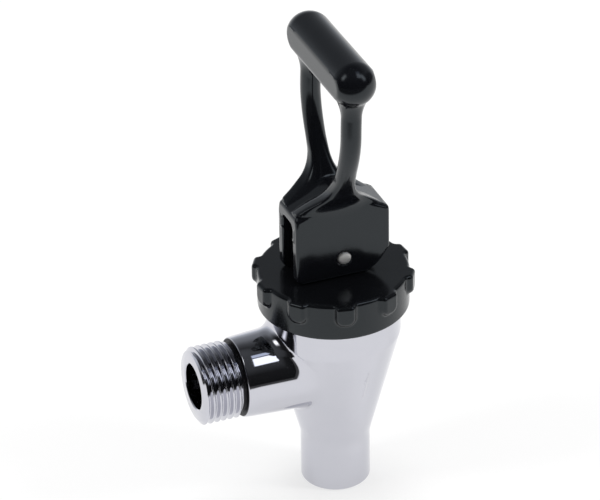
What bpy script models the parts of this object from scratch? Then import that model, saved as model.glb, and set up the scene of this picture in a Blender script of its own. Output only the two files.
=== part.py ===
"""Self-closing drain tap with a lever handle, modelled piece by piece.

The origin is on the axis of the threaded inlet, in the plane of the shoulder
behind the thread. +X points away from the tank, +Z up, and all sizes are in metres.
Heights are measured from the inlet's axis unless a comment says otherwise.
"""

import math

import bmesh
import bpy
from mathutils import Matrix, Vector

MM = 0.001

# Clearances
GAP = 0.3 * MM
PIN_FIT = 0.15 * MM
CAM_GAP = 0.1 * MM
STEM_GUIDE_FIT = 0.25 * MM

# Inlet: a half-inch pipe thread on a short shank
TAP_REACH = 28.3 * MM
SHANK_LENGTH = 11.4 * MM
THREAD_DIAMETER = 20.955 * MM
THREAD_PITCH = 25.4 / 14.0 * MM
THREAD_DEPTH = 1.16 * MM
THREAD_CHAMFER = 0.8 * MM
GROOVE_DIAMETER = 18.4 * MM
GROOVE_WIDTH = 0.9 * MM
INLET_BORE = 12.4 * MM
BOSS_DIAMETER = 21.8 * MM
BOSS_SWELL = 1.5 * MM
BOSS_EDGE = 0.4 * MM
BOSS_ROOT = 4.0 * MM
BORE_ROOT = 3.0 * MM
BORE_LEAD = 0.5 * MM
ROOT_FILLET_TOP = 4.2 * MM
ROOT_FILLET_SIDE = 2.4 * MM

# Body: rim, cone and spout
RIM_DIAMETER = 35.6 * MM
BODY_TOP = 21.7 * MM
CONE_TOP = 9.1 * MM
CONE_BOTTOM = -23.0 * MM
SPOUT_DIAMETER = 18.7 * MM
SPOUT_END = -37.6 * MM
SPOUT_EDGE = 1.0 * MM
SPOUT_BORE = 15.0 * MM
RIM_EDGE = 0.6 * MM
RIM_BLEND = 5.0 * MM
SPOUT_BLEND = 14.0 * MM
BODY_WALL = 3.2 * MM
VALVE_SEAT = -14.4 * MM
VALVE_SEAT_WEB = 3.0 * MM
VALVE_SEAT_BORE = 11.6 * MM

# Seat cup: one silicone moulding
FLANGE_THICKNESS = 1.6 * MM
FLANGE_INSET = 0.4 * MM
CUP_DIAMETER = 14.8 * MM
CUP_WALL = 1.3 * MM
CUP_NOSE = 1.6 * MM
BELLOWS_SWELL = 1.5 * MM
BELLOWS_PITCH = 5.0 * MM
BELLOWS_TURNS = 2

# Friction ring between the cup and the bonnet
RING_THICKNESS = 0.8 * MM
RING_BORE = 17.0 * MM

# Bonnet
BONNET_SKIRT = 2.0 * MM
BONNET_HEIGHT = 10.4 * MM
BONNET_ROOF = 2.6 * MM
BONNET_EDGE = 0.9 * MM
LUG_COUNT = 10
LUG_PHASE = 5.0
LUG_WIDTH = 5.2 * MM
LUG_HEIGHT = 6.2 * MM
LUG_PROUD = 1.4 * MM
LUG_FOOT_RADIUS = 2.3 * MM
LUG_EDGE = 0.8 * MM
LUG_ROOT = 1.5 * MM
LUG_STEP = 0.02 * MM

# Stem
STEM_DIAMETER = 8.0 * MM
STEM_TONGUE = 6.5 * MM
STEM_SHANK = 6.4 * MM
COLLAR_DIAMETER = 11.4 * MM
COLLAR_THICKNESS = 1.6 * MM
COLLAR_TOP = -0.6 * MM
STEM_NECK = 4.6 * MM
BULB_DIAMETER = 7.6 * MM
BULB_HEIGHT = 4.4 * MM
TONGUE_OVER_PIN = 4.0 * MM

# Spring
SPRING_WIRE = 1.1 * MM
SPRING_TURNS = 7
SPRING_STEPS = 10

# Handle
PIN_HEIGHT = 5.9 * MM
PIN_FORWARD = 0.6 * MM
PIN_DIAMETER = 3.7 * MM
PIN_PROUD = 0.6 * MM
TILT_LIMIT = 55.0
STEM_LIFT = 4.4 * MM
FOOT_WIDTH = 12.94 * MM
FOOT_FRONT = 12.6 * MM
FOOT_BACK = 13.0 * MM
FOOT_EDGE = 0.7 * MM
FOOT_BACK_RADIUS = 2.2 * MM
CHEEK = 2.9 * MM
EAVE_HEIGHT = 12.9 * MM
EAVE_RADIUS = 1.0 * MM
EAVE_BACK_RADIUS = 2.6 * MM
ROOF_SLOPE = 28.0
SLOT_ROOF = 1.6 * MM
SLOT_CORNER = 1.8 * MM
BAR_HEIGHT = 56.3 * MM
BAR_SPAN = 28.6 * MM
BAR_DIAMETER = 11.6 * MM
BAR_FLAT = 10.2 * MM
HANDLE_SHIFT = -0.5 * MM
ARM_SPAN = 27.8 * MM
ARM_DIAMETER = 5.8 * MM
ARM_FLARE = 15.0 * MM
ARM_HEAD_FLARE = 2.4 * MM

# Facets
BODY_SIDES = 40
BONNET_SIDES = 48
STEM_SIDES = 24
CUP_SIDES = 20
PIN_SIDES = 20
INLET_SIDES = 32
THREAD_SIDES = 24
GRIP_SIDES = 28
ARM_SIDES = 20
ARC_STEPS = 3
CAM_STEPS = 10

# Levels and radii that follow from the sizes above
TAP_X = TAP_REACH
FLANGE_BOTTOM = BODY_TOP + GAP
FLANGE_TOP = FLANGE_BOTTOM + FLANGE_THICKNESS
RING_BOTTOM = FLANGE_TOP + GAP
RING_TOP = RING_BOTTOM + RING_THICKNESS
BONNET_CEILING = RING_TOP + GAP
BONNET_DIAMETER = RIM_DIAMETER + 2.0 * (GAP + BONNET_SKIRT)
BONNET_TOP = BONNET_CEILING + BONNET_ROOF
BONNET_BOTTOM = BONNET_TOP - BONNET_HEIGHT
PIN_Z = BONNET_TOP + PIN_HEIGHT
PIN_X = TAP_X + PIN_FORWARD
COLLAR_BOTTOM = COLLAR_TOP - COLLAR_THICKNESS
NOSE_BOTTOM = VALVE_SEAT + GAP
POCKET_BOTTOM = NOSE_BOTTOM + CUP_NOSE
BULB_BOTTOM = POCKET_BOTTOM + GAP
BULB_TOP = BULB_BOTTOM + BULB_HEIGHT
LIFT_PER_RADIAN = STEM_LIFT / math.radians(TILT_LIMIT)
SLOT_WIDTH = FOOT_WIDTH - 2.0 * CHEEK

MATERIALS = {
    "chrome_plated_brass": ((0.62, 0.62, 0.66), 0.08, 1.0),
    "black_moulded_plastic": ((0.012, 0.012, 0.014), 0.22, 0.0),
    "stainless_steel": ((0.56, 0.55, 0.53), 0.3, 1.0),
    "grey_moulded_plastic": ((0.35, 0.35, 0.36), 0.4, 0.0),
    "clear_white_silicone": ((0.75, 0.75, 0.73), 0.45, 0.0),
    "natural_nylon": ((0.72, 0.7, 0.62), 0.4, 0.0),
}


def clear_scene():
    """Removes whatever the scene holds before the tap is made."""
    for old in list(bpy.data.objects):
        bpy.data.objects.remove(old, do_unlink=True)


def new_collection(name):
    group = bpy.data.collections.new(name)
    bpy.context.scene.collection.children.link(group)
    return group


def finish_of(name, label):
    """A Principled material for one piece, from a named finish."""
    colour, roughness, metallic = MATERIALS[name]
    made = bpy.data.materials.new(label + "_" + name)
    made.use_nodes = True
    shader = made.node_tree.nodes["Principled BSDF"]
    shader.inputs["Base Color"].default_value = (*colour, 1.0)
    shader.inputs["Roughness"].default_value = roughness
    shader.inputs["Metallic"].default_value = metallic
    return made


def put(name, data, group, finish=None):
    """Links new object data into a collection, as a piece or as a cutter."""
    piece = bpy.data.objects.new(name, data)
    group.objects.link(piece)
    if finish:
        data.materials.append(finish_of(finish, name))
    else:
        piece.hide_render = True
        piece.display_type = "WIRE"
    return piece


def rounded(corners, steps=ARC_STEPS, closed=False):
    """Turns corners (x, z, radius) into a line of points with true arcs at the corners."""
    count = len(corners)
    points = []
    for index, (x, z, radius) in enumerate(corners):
        here = Vector((x, z))
        if radius <= 0.0 or (not closed and index in (0, count - 1)):
            points.append(here)
            continue
        back = Vector(corners[index - 1][:2]) - here
        ahead = Vector(corners[(index + 1) % count][:2]) - here
        half = back.angle(ahead) / 2.0
        reach = min(radius / math.tan(half), 0.45 * back.length, 0.45 * ahead.length)
        start = here + back.normalized() * reach
        end = here + ahead.normalized() * reach
        centre = here + (back.normalized() + ahead.normalized()).normalized() * (reach / math.cos(half))
        sweep = math.pi - 2.0 * half
        spin = 1.0 if (start - centre).cross(end - centre) > 0.0 else -1.0
        for step in range(steps + 1):
            turn = Matrix.Rotation(spin * sweep * step / steps, 2)
            points.append(centre + turn @ (start - centre))
    return points


def turned(name, group, profile, sides, finish=None, closed=False):
    """A turned shape: a half profile (radius, height) swept round Z by a Screw modifier."""
    data = bpy.data.meshes.new(name)
    edges = [(i, i + 1) for i in range(len(profile) - 1)]
    if closed:
        edges.append((len(profile) - 1, 0))
    data.from_pydata([(p[0], 0.0, p[1]) for p in profile], edges, [])
    piece = put(name, data, group, finish)
    screw = piece.modifiers.new("Turn", "SCREW")
    screw.angle = math.tau
    screw.steps = sides
    screw.render_steps = sides
    screw.use_merge_vertices = True
    screw.merge_threshold = 1e-6
    screw.use_smooth_shade = True
    return piece


def extruded(name, group, outline, half_depth, finish=None):
    """A flat outline (x, z) pushed out along Y to both sides by half_depth."""
    data = bpy.data.meshes.new(name)
    bm = bmesh.new()
    ring = [bm.verts.new((p[0], -half_depth, p[1])) for p in outline]
    face = bm.faces.new(ring)
    grown = bmesh.ops.extrude_face_region(bm, geom=[face])
    moved = [v for v in grown["geom"] if isinstance(v, bmesh.types.BMVert)]
    bmesh.ops.translate(bm, vec=(0.0, 2.0 * half_depth, 0.0), verts=moved)
    bmesh.ops.recalc_face_normals(bm, faces=bm.faces)
    bm.to_mesh(data)
    bm.free()
    return put(name, data, group, finish)


def lofted(bm, rings):
    """Skins a row of equal rings of points and closes both ends."""
    rows = [[bm.verts.new(p) for p in ring] for ring in rings]
    count = len(rows[0])
    for low, high in zip(rows, rows[1:]):
        for i in range(count):
            j = (i + 1) % count
            bm.faces.new((low[i], low[j], high[j], high[i]))
    bm.faces.new(list(reversed(rows[0])))
    bm.faces.new(rows[-1])


def cut(piece, tool, operation="DIFFERENCE"):
    """Adds an exact Boolean step to a piece."""
    step = piece.modifiers.new(tool.name, "BOOLEAN")
    step.object = tool
    step.operation = operation
    step.solver = "EXACT"


def soften(piece, angle=35.0):
    """Applies the piece's steps and shades it smooth with sharp edges kept."""
    graph = bpy.context.evaluated_depsgraph_get()
    graph.update()
    made = bpy.data.meshes.new_from_object(piece.evaluated_get(graph), depsgraph=graph)
    made.name = piece.name
    piece.modifiers.clear()
    piece.data = made
    made.shade_smooth()
    made.set_sharp_from_angle(angle=math.radians(angle))


def body_radius(height):
    """Outer radius of the body's rim, cone and spout at a height."""
    rim = RIM_DIAMETER / 2.0
    spout = SPOUT_DIAMETER / 2.0
    share = (CONE_TOP - height) / (CONE_TOP - CONE_BOTTOM)
    return rim + (spout - rim) * min(max(share, 0.0), 1.0)


def boss_radius(outward):
    """Outer radius of the inlet boss, which swells from the shoulder to the tap's axis."""
    return BOSS_DIAMETER / 2.0 + BOSS_SWELL * (1.0 - outward / TAP_REACH)


def body_casting(parts, cutters):
    """The chromed brass casting: rim, cone, spout, side boss and threaded shank."""
    rim = RIM_DIAMETER / 2.0
    spout = SPOUT_DIAMETER / 2.0
    outer = rounded([
        (0.0, BODY_TOP, 0.0),
        (rim, BODY_TOP, RIM_EDGE),
        (rim, CONE_TOP, RIM_BLEND),
        (spout, CONE_BOTTOM, SPOUT_BLEND),
        (spout, SPOUT_END, SPOUT_EDGE),
        (0.0, SPOUT_END, 0.0),
    ])
    body = turned("body", parts, outer, BODY_SIDES, "chrome_plated_brass")
    body.location = (TAP_X, 0.0, 0.0)
    cut(body, inlet_shank(cutters), "UNION")
    cut(body, pipe_thread(cutters), "UNION")
    cut(body, root_fillet(cutters), "UNION")
    cut(body, chamber_cutter(cutters))
    cut(body, inlet_cutter(cutters))
    return body


def inlet_shank(cutters):
    """The side boss and the groove behind the thread, turned about the inlet's axis."""
    groove = GROOVE_DIAMETER / 2.0
    core_end = TAP_REACH + GROOVE_WIDTH + 2.0 * THREAD_PITCH
    profile = rounded([
        (0.0, core_end, 0.0),
        (groove, core_end, 0.0),
        (groove, TAP_REACH, 0.0),
        (BOSS_DIAMETER / 2.0, TAP_REACH, BOSS_EDGE),
        (boss_radius(BOSS_ROOT), BOSS_ROOT, 0.0),
        (0.0, BOSS_ROOT, 0.0),
    ])
    shank = turned("inlet_shank", cutters, profile, INLET_SIDES)
    shank.location = (TAP_X, 0.0, 0.0)
    shank.rotation_euler = (0.0, -math.pi / 2.0, 0.0)
    return shank


def wound_ridge(bm, root, crest, pitch, start, turns, sides):
    """A V-shaped ridge wound round Z as two helical lines, one at its root and one at its crest."""
    last = turns * sides
    lines = []
    for radius, ahead, count in ((root, 0.0, last + sides), (crest, pitch / 2.0, last)):
        line = []
        for i in range(count + 1):
            angle = math.tau * i / sides
            height = start + ahead + pitch * i / sides
            line.append(bm.verts.new((radius * math.cos(angle), radius * math.sin(angle), height)))
        lines.append(line)
    low, high = lines
    for i in range(last):
        bm.faces.new((low[i], low[i + 1], high[i + 1], high[i]))
        bm.faces.new((high[i], high[i + 1], low[i + 1 + sides], low[i + sides]))
    for first in (0, last):
        loop = low[first:first + sides + 1] + [high[first]]
        hub = bm.verts.new((0.0, 0.0, start + pitch * (first / sides + 0.5)))
        for a, b in zip(loop, loop[1:] + loop[:1]):
            bm.faces.new((a, b, hub))
    bmesh.ops.recalc_face_normals(bm, faces=bm.faces)


def pipe_thread(cutters):
    """The inlet's external thread, wound long and then trimmed to the shank's outline."""
    crest = THREAD_DIAMETER / 2.0
    root = crest - THREAD_DEPTH
    start = TAP_REACH + GROOVE_WIDTH
    end = TAP_REACH + SHANK_LENGTH
    turns = math.ceil(SHANK_LENGTH / THREAD_PITCH) + 1
    data = bpy.data.meshes.new("pipe_thread")
    bm = bmesh.new()
    wound_ridge(bm, root, crest, THREAD_PITCH, start - 1.5 * THREAD_PITCH, turns, THREAD_SIDES)
    bm.to_mesh(data)
    bm.free()
    thread = put("pipe_thread", data, cutters)
    thread.location = (TAP_X, 0.0, 0.0)
    thread.rotation_euler = (0.0, -math.pi / 2.0, 0.0)
    over = 0.5 * MM
    outline = [
        (0.0, end),
        (crest - THREAD_CHAMFER, end),
        (crest + over, end - THREAD_CHAMFER - over),
        (crest + over, start + over + (crest - root) / 2.0),
        (root, start),
        (0.0, start),
    ]
    blank = turned("thread_blank", cutters, outline, INLET_SIDES)
    blank.location = thread.location
    blank.rotation_euler = thread.rotation_euler
    cut(thread, blank, "INTERSECT")
    return thread


def meeting_point(angle):
    """Where the boss runs into the body, at an angle round the inlet (0 is up)."""
    outward = RIM_DIAMETER / 2.0
    for _ in range(12):
        radius = boss_radius(outward)
        side = radius * math.sin(angle)
        reach = body_radius(radius * math.cos(angle))
        outward = math.sqrt(max(reach * reach - side * side, 0.0))
    return outward, boss_radius(outward)


def root_fillet(cutters):
    """The hollow fillet cast where the boss meets the body, larger on top."""
    rings = []
    for step in range(INLET_SIDES):
        angle = math.tau * step / INLET_SIDES
        outward, radius = meeting_point(angle)
        up = (1.0 + math.cos(angle)) / 2.0
        fillet = ROOT_FILLET_SIDE + (ROOT_FILLET_TOP - ROOT_FILLET_SIDE) * up
        room = (BONNET_BOTTOM - 2.0 * GAP) / max(math.cos(angle), 0.1) - radius
        fillet = min(fillet, room)
        high = radius + fillet
        side = high * math.sin(angle)
        reach = body_radius(high * math.cos(angle))
        wall = math.sqrt(max(reach * reach - side * side, 0.0))
        a = Vector((outward + fillet, radius))
        b = Vector((wall, high))
        p = Vector((outward, radius))
        line = [a + Vector((0.0, -0.6 * MM)), a]
        for k in (0.25, 0.5, 0.75):
            line.append(a * (1.0 - k) ** 2 + p * 2.0 * k * (1.0 - k) + b * k * k)
        line += [b, b + Vector((-0.6 * MM, 0.0)), p + Vector((-2.0 * MM, -2.0 * MM))]
        rings.append([
            Vector((TAP_X - q.x, q.y * math.sin(angle), q.y * math.cos(angle))) for q in line
        ])
    data = bpy.data.meshes.new("root_fillet")
    bm = bmesh.new()
    rows = [[bm.verts.new(p) for p in ring] for ring in rings]
    for row, following in zip(rows, rows[1:] + rows[:1]):
        for i in range(len(row)):
            j = (i + 1) % len(row)
            bm.faces.new((row[i], row[j], following[j], following[i]))
    bmesh.ops.recalc_face_normals(bm, faces=bm.faces)
    bm.to_mesh(data)
    bm.free()
    return put("root_fillet", data, cutters)


def chamber_cutter(cutters):
    """The hollow inside the body: chamber, valve seat and spout bore."""
    chamber = RIM_DIAMETER / 2.0 - BODY_WALL
    floor = body_radius(VALVE_SEAT) - BODY_WALL
    seat = VALVE_SEAT_BORE / 2.0
    bore = SPOUT_BORE / 2.0
    web = VALVE_SEAT - VALVE_SEAT_WEB
    over = 2.0 * MM
    profile = rounded([
        (0.0, BODY_TOP + over, 0.0),
        (chamber, BODY_TOP + over, 0.0),
        (chamber, CONE_TOP, 0.0),
        (floor, VALVE_SEAT, 1.5 * MM),
        (seat, VALVE_SEAT, 0.0),
        (seat, web, 0.0),
        (bore, web - 1.0 * MM, 0.0),
        (bore, SPOUT_END - over, 0.0),
        (0.0, SPOUT_END - over, 0.0),
    ], steps=2)
    tool = turned("chamber_cutter", cutters, profile, BODY_SIDES)
    tool.location = (TAP_X, 0.0, 0.0)
    tool.rotation_euler = (0.0, 0.0, math.pi / BODY_SIDES)
    return tool


def inlet_cutter(cutters):
    """The bore through the shank, with a small chamfer at its mouth."""
    end = TAP_REACH + SHANK_LENGTH
    bore = INLET_BORE / 2.0
    profile = [
        (0.0, end + BORE_LEAD),
        (bore + 2.0 * BORE_LEAD, end + BORE_LEAD),
        (bore, end - BORE_LEAD),
        (bore, BORE_ROOT),
        (0.0, BORE_ROOT),
    ]
    tool = turned("inlet_cutter", cutters, profile, STEM_SIDES)
    tool.location = (TAP_X, 0.0, 0.0)
    tool.rotation_euler = (0.0, -math.pi / 2.0, 0.0)
    return tool


def bellows(outer):
    """Points of the cup's folded wall, going down, on its outer or its inner side."""
    radius = CUP_DIAMETER / 2.0 - (0.0 if outer else CUP_WALL)
    top = FLANGE_BOTTOM - 1.5 * MM
    points = []
    for fold in range(BELLOWS_TURNS):
        high = top - fold * BELLOWS_PITCH
        points.append((radius, high, 0.8 * MM))
        points.append((radius + BELLOWS_SWELL, high - BELLOWS_PITCH / 2.0, 0.8 * MM))
    points.append((radius, top - BELLOWS_TURNS * BELLOWS_PITCH, 0.8 * MM))
    return points


def seat_cup(parts):
    """The silicone cup that keeps the drink off the spring and closes the valve."""
    flange = RIM_DIAMETER / 2.0 - FLANGE_INSET
    inner = CUP_DIAMETER / 2.0 - CUP_WALL
    neck = STEM_NECK / 2.0 + GAP
    pocket = BULB_DIAMETER / 2.0 + GAP
    nose = CUP_DIAMETER / 2.0
    corners = [
        (0.0, POCKET_BOTTOM, 0.0),
        (pocket, POCKET_BOTTOM, 1.2 * MM),
        (pocket, BULB_TOP + GAP, 0.8 * MM),
        (neck, BULB_TOP + 1.5 * GAP, 0.0),
        (neck, COLLAR_BOTTOM - 1.6 * MM, 0.0),
        (inner, COLLAR_BOTTOM - GAP, 0.6 * MM),
    ]
    corners += list(reversed(bellows(False)))
    corners += [
        (inner, FLANGE_TOP, 0.0),
        (flange, FLANGE_TOP, 0.0),
        (flange, FLANGE_BOTTOM, 0.0),
        (nose, FLANGE_BOTTOM, 0.0),
    ]
    corners += bellows(True)
    corners += [
        (nose, NOSE_BOTTOM + 1.5 * MM, 0.8 * MM),
        (nose - 1.0 * MM, NOSE_BOTTOM, 0.0),
        (0.0, NOSE_BOTTOM, 0.0),
    ]
    cup = turned("seat_cup", parts, rounded(corners, steps=1), CUP_SIDES, "clear_white_silicone")
    cup.location = (TAP_X, 0.0, 0.0)
    return cup


def friction_ring(parts):
    """The flat nylon ring that lets the bonnet turn without wringing the cup's flange."""
    outer = RIM_DIAMETER / 2.0 - FLANGE_INSET
    bore = RING_BORE / 2.0
    profile = [(bore, RING_TOP), (outer, RING_TOP), (outer, RING_BOTTOM), (bore, RING_BOTTOM)]
    ring = turned("friction_ring", parts, profile, INLET_SIDES, "natural_nylon", closed=True)
    ring.location = (TAP_X, 0.0, 0.0)
    return ring


def double_d(name, cutters, radius, flat, low, high):
    """A round bar with two flats across Y, standing between two heights."""
    tool = turned(name, cutters, [(0.0, high), (radius, high), (radius, low), (0.0, low)], STEM_SIDES)
    tool.location = (TAP_X, 0.0, 0.0)
    half = (high - low) / 2.0 + 1.0 * MM
    middle = (high + low) / 2.0
    side = radius * 1.5
    outline = [(-side, middle - half), (side, middle - half), (side, middle + half), (-side, middle + half)]
    block = extruded(name + "_flats", cutters, outline, flat / 2.0)
    block.location = (TAP_X, 0.0, 0.0)
    cut(tool, block, "INTERSECT")
    return tool


def stem(parts, cutters):
    """The moulded stem: tongue for the pin, flats, spring collar, neck and bulb."""
    top = PIN_Z + TONGUE_OVER_PIN
    body = STEM_DIAMETER / 2.0
    shank = STEM_SHANK / 2.0
    flats_end = BONNET_CEILING - STEM_LIFT - 1.8 * MM
    neck = STEM_NECK / 2.0
    bulb = BULB_DIAMETER / 2.0
    profile = rounded([
        (0.0, top, 0.0),
        (body, top, 3.0 * MM),
        (body, flats_end - 2.0 * MM, 0.0),
        (shank, flats_end - 3.0 * MM, 0.0),
        (shank, COLLAR_TOP, 0.0),
        (COLLAR_DIAMETER / 2.0, COLLAR_TOP, 0.3 * MM),
        (COLLAR_DIAMETER / 2.0, COLLAR_BOTTOM, 0.3 * MM),
        (neck, COLLAR_BOTTOM, 0.0),
        (neck, BULB_TOP, 0.0),
        (bulb, BULB_TOP, 0.7 * MM),
        (bulb, BULB_BOTTOM, 1.6 * MM),
        (0.0, BULB_BOTTOM, 0.0),
    ], steps=2)
    piece = turned("stem", parts, profile, STEM_SIDES, "grey_moulded_plastic")
    piece.location = (TAP_X, 0.0, 0.0)
    middle = (top + flats_end) / 2.0
    half = (top - flats_end) / 2.0
    for side in (-1.0, 1.0):
        outline = [(-body - MM, -half), (body + MM, -half), (body + MM, half + MM), (-body - MM, half + MM)]
        tool = extruded("stem_flat_cutter", cutters, outline, body / 2.0)
        tool.location = (TAP_X, side * (STEM_TONGUE / 2.0 + body / 2.0), middle)
        cut(piece, tool)
    hole = pin_cylinder("stem_hole_cutter", cutters, PIN_DIAMETER / 2.0 + PIN_FIT, STEM_DIAMETER)
    cut(piece, hole)
    return piece


def pin_cylinder(name, cutters, radius, half_length):
    """A round cutter along Y on the pin's axis."""
    tool = turned(name, cutters, [(0.0, half_length), (radius, half_length),
                                  (radius, -half_length), (0.0, -half_length)], PIN_SIDES)
    tool.location = (PIN_X, 0.0, PIN_Z)
    tool.rotation_euler = (math.pi / 2.0, 0.0, 0.0)
    return tool


def return_spring(parts):
    """The steel coil between the stem's collar and the bonnet's roof."""
    wire = SPRING_WIRE / 2.0
    inner = max(STEM_DIAMETER, STEM_SHANK) / 2.0 + GAP
    mean = inner + wire + 0.1 * MM
    low = COLLAR_TOP + GAP + wire
    high = BONNET_CEILING - GAP - wire
    total = SPRING_TURNS + 1.0
    steps = int(total * SPRING_STEPS)
    curve = bpy.data.curves.new("return_spring", "CURVE")
    curve.dimensions = "3D"
    curve.bevel_depth = wire
    curve.bevel_resolution = 1
    curve.use_fill_caps = True
    line = curve.splines.new("POLY")
    line.points.add(steps)
    for index in range(steps + 1):
        turn = total * index / steps
        climb = min(max((turn - 0.5 * 0.9) / (total - 0.9), 0.0), 1.0)
        closing = wire * 2.05 * (min(turn, 0.9) + max(turn - total + 0.9, 0.0))
        height = low + closing + (high - low - wire * 2.05 * 1.8) * climb
        angle = math.tau * turn
        line.points[index].co = (mean * math.cos(angle), mean * math.sin(angle), height, 1.0)
    coil = put("return_spring", curve, parts, "stainless_steel")
    coil.location = (TAP_X, 0.0, 0.0)
    return coil


def grip_lugs(cutters):
    """The ribs round the bonnet, each with a rounded foot."""
    half = LUG_WIDTH / 2.0
    low = BONNET_TOP - LUG_HEIGHT
    top = BONNET_TOP - LUG_STEP
    outline = rounded([
        (-half, top, 0.0),
        (-half, low, LUG_FOOT_RADIUS),
        (half, low, LUG_FOOT_RADIUS),
        (half, top, 0.0),
    ], steps=3, closed=True)
    one = bmesh.new()
    root = [one.verts.new((BONNET_DIAMETER / 2.0 - LUG_ROOT, p[0], p[1])) for p in outline]
    grown = bmesh.ops.extrude_face_region(one, geom=[one.faces.new(root)])["geom"]
    moved = [v for v in grown if isinstance(v, bmesh.types.BMVert)]
    bmesh.ops.translate(one, vec=(LUG_ROOT + LUG_PROUD, 0.0, 0.0), verts=moved)
    face = next(f for f in grown if isinstance(f, bmesh.types.BMFace))
    bmesh.ops.bevel(one, geom=list(face.edges), offset=LUG_EDGE, segments=1, affect="EDGES")
    bmesh.ops.recalc_face_normals(one, faces=one.faces)
    data = bpy.data.meshes.new("grip_lugs")
    one.to_mesh(data)
    one.free()
    ring = bmesh.new()
    for lug in range(LUG_COUNT):
        first = len(ring.verts)
        ring.from_mesh(data)
        ring.verts.ensure_lookup_table()
        angle = math.radians(LUG_PHASE + 360.0 * lug / LUG_COUNT)
        bmesh.ops.rotate(ring, cent=(0.0, 0.0, 0.0), matrix=Matrix.Rotation(angle, 3, "Z"),
                         verts=ring.verts[first:])
    ring.to_mesh(data)
    ring.free()
    tool = put("grip_lugs", data, cutters)
    tool.location = (TAP_X, 0.0, 0.0)
    return tool


def bonnet(parts, cutters):
    """The screw-on cap with its grip ribs and the keyed hole for the stem."""
    outer = BONNET_DIAMETER / 2.0
    inner = RIM_DIAMETER / 2.0 + GAP
    profile = rounded([
        (0.0, BONNET_TOP, 0.0),
        (outer, BONNET_TOP, BONNET_EDGE),
        (outer, BONNET_BOTTOM, 0.4 * MM),
        (inner, BONNET_BOTTOM, 0.0),
        (inner, BONNET_CEILING, 0.0),
        (0.0, BONNET_CEILING, 0.0),
    ], steps=2)
    cap = turned("bonnet", parts, profile, BONNET_SIDES, "black_moulded_plastic")
    cap.location = (TAP_X, 0.0, 0.0)
    cut(cap, grip_lugs(cutters), "UNION")
    hole = double_d("bonnet_hole_cutter", cutters, STEM_DIAMETER / 2.0 + STEM_GUIDE_FIT,
                    STEM_TONGUE + 2.0 * STEM_GUIDE_FIT, BONNET_CEILING - 2.0 * MM, BONNET_TOP + 2.0 * MM)
    cut(cap, hole)
    return cap


def cam_outline():
    """Side view of the handle's foot, seen along Y with the pin at the origin.

    The front corner is an involute: as the handle tilts, it lifts the pin by the same
    amount for each degree, and the slanted flat ahead of it rests on the bonnet at the end.
    """
    start = PIN_HEIGHT - CAM_GAP
    rest = -(PIN_HEIGHT - GAP)
    limit = math.radians(TILT_LIMIT)
    involute = []
    for step in range(CAM_STEPS + 1):
        tilt = limit * step / CAM_STEPS
        reach = start + LIFT_PER_RADIAN * tilt
        involute.append((reach * math.sin(tilt) + LIFT_PER_RADIAN * math.cos(tilt),
                         LIFT_PER_RADIAN * math.sin(tilt) - reach * math.cos(tilt)))
    curve = [p for p in involute if p[1] >= rest]
    under = [p for p in involute if p[1] < rest]
    if under:
        low, high = under[-1], curve[0]
        share = (rest - low[1]) / (high[1] - low[1])
        curve.insert(0, (low[0] + (high[0] - low[0]) * share, rest))
    slant = FOOT_FRONT - curve[-1][0]
    ridge = EAVE_HEIGHT + (FOOT_FRONT + FOOT_BACK) / 2.0 * math.tan(math.radians(ROOF_SLOPE))
    middle = (FOOT_FRONT - FOOT_BACK) / 2.0
    corners = [(-FOOT_BACK, rest, FOOT_BACK_RADIUS)]
    corners += [(x, z, 0.0) for x, z in curve]
    corners += [
        (FOOT_FRONT, curve[-1][1] + slant * math.tan(limit), 0.8 * MM),
        (FOOT_FRONT, EAVE_HEIGHT, EAVE_RADIUS),
        (middle, ridge, 4.0 * MM),
        (-FOOT_BACK, EAVE_HEIGHT, EAVE_BACK_RADIUS),
    ]
    return rounded(corners, steps=3, closed=True)


def arm_rings(side):
    """Level sections of one arm, from inside the foot up into the grip bar."""
    low = EAVE_HEIGHT - 1.5 * MM
    high = BAR_HEIGHT - 1.0 * MM
    radius = ARM_DIAMETER / 2.0
    foot_y = FOOT_WIDTH / 4.0
    arm_y = ARM_SPAN / 2.0
    slope = math.radians(ROOF_SLOPE)
    turn = math.pi / 2.0 - slope
    roof_reach = (FOOT_FRONT + FOOT_BACK) / 2.0
    flare_out = ARM_FLARE * (1.0 - math.cos(turn))
    flare_top = EAVE_HEIGHT + (roof_reach - radius - flare_out) * math.tan(slope) + ARM_FLARE * math.sin(turn)
    bar_low = BAR_HEIGHT - BAR_DIAMETER / 2.0
    rings = []
    shares = [0.0, 0.05, 0.1, 0.15, 0.21, 0.27, 0.34, 0.43, 0.54, 0.68, 0.82, 0.89, 0.93, 0.97, 1.0]
    for share in shares:
        z = low + (high - low) * share
        ease = min(max((z - EAVE_HEIGHT) / (0.66 * (BAR_HEIGHT - EAVE_HEIGHT)), 0.0), 1.0) ** 0.75
        blend = ease * ease * (3.0 - 2.0 * ease)
        y = foot_y + (arm_y - foot_y) * blend
        wide = radius
        drop = flare_top - z
        if drop > 0.0:
            inside = max(ARM_FLARE * ARM_FLARE - drop * drop, 0.0)
            wide = radius + ARM_FLARE - math.sqrt(inside)
            wide = min(wide, roof_reach - 1.2 * MM)
        deep = radius * (1.0 + 0.28 * math.sin(math.pi * min(blend, 1.0)))
        head = max(z - (bar_low - ARM_HEAD_FLARE), 0.0) / ARM_HEAD_FLARE
        grow = 0.5 * ARM_HEAD_FLARE * min(head, 1.0) ** 2
        wide = min(wide + grow, max(wide, BAR_FLAT / 2.0 - 0.3 * MM))
        deep = deep + grow
        ring = []
        for step in range(ARM_SIDES):
            angle = math.tau * step / ARM_SIDES
            ring.append((HANDLE_SHIFT + wide * math.cos(angle), side * (y + deep * math.sin(angle)), z))
        rings.append(ring)
    return rings


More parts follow.
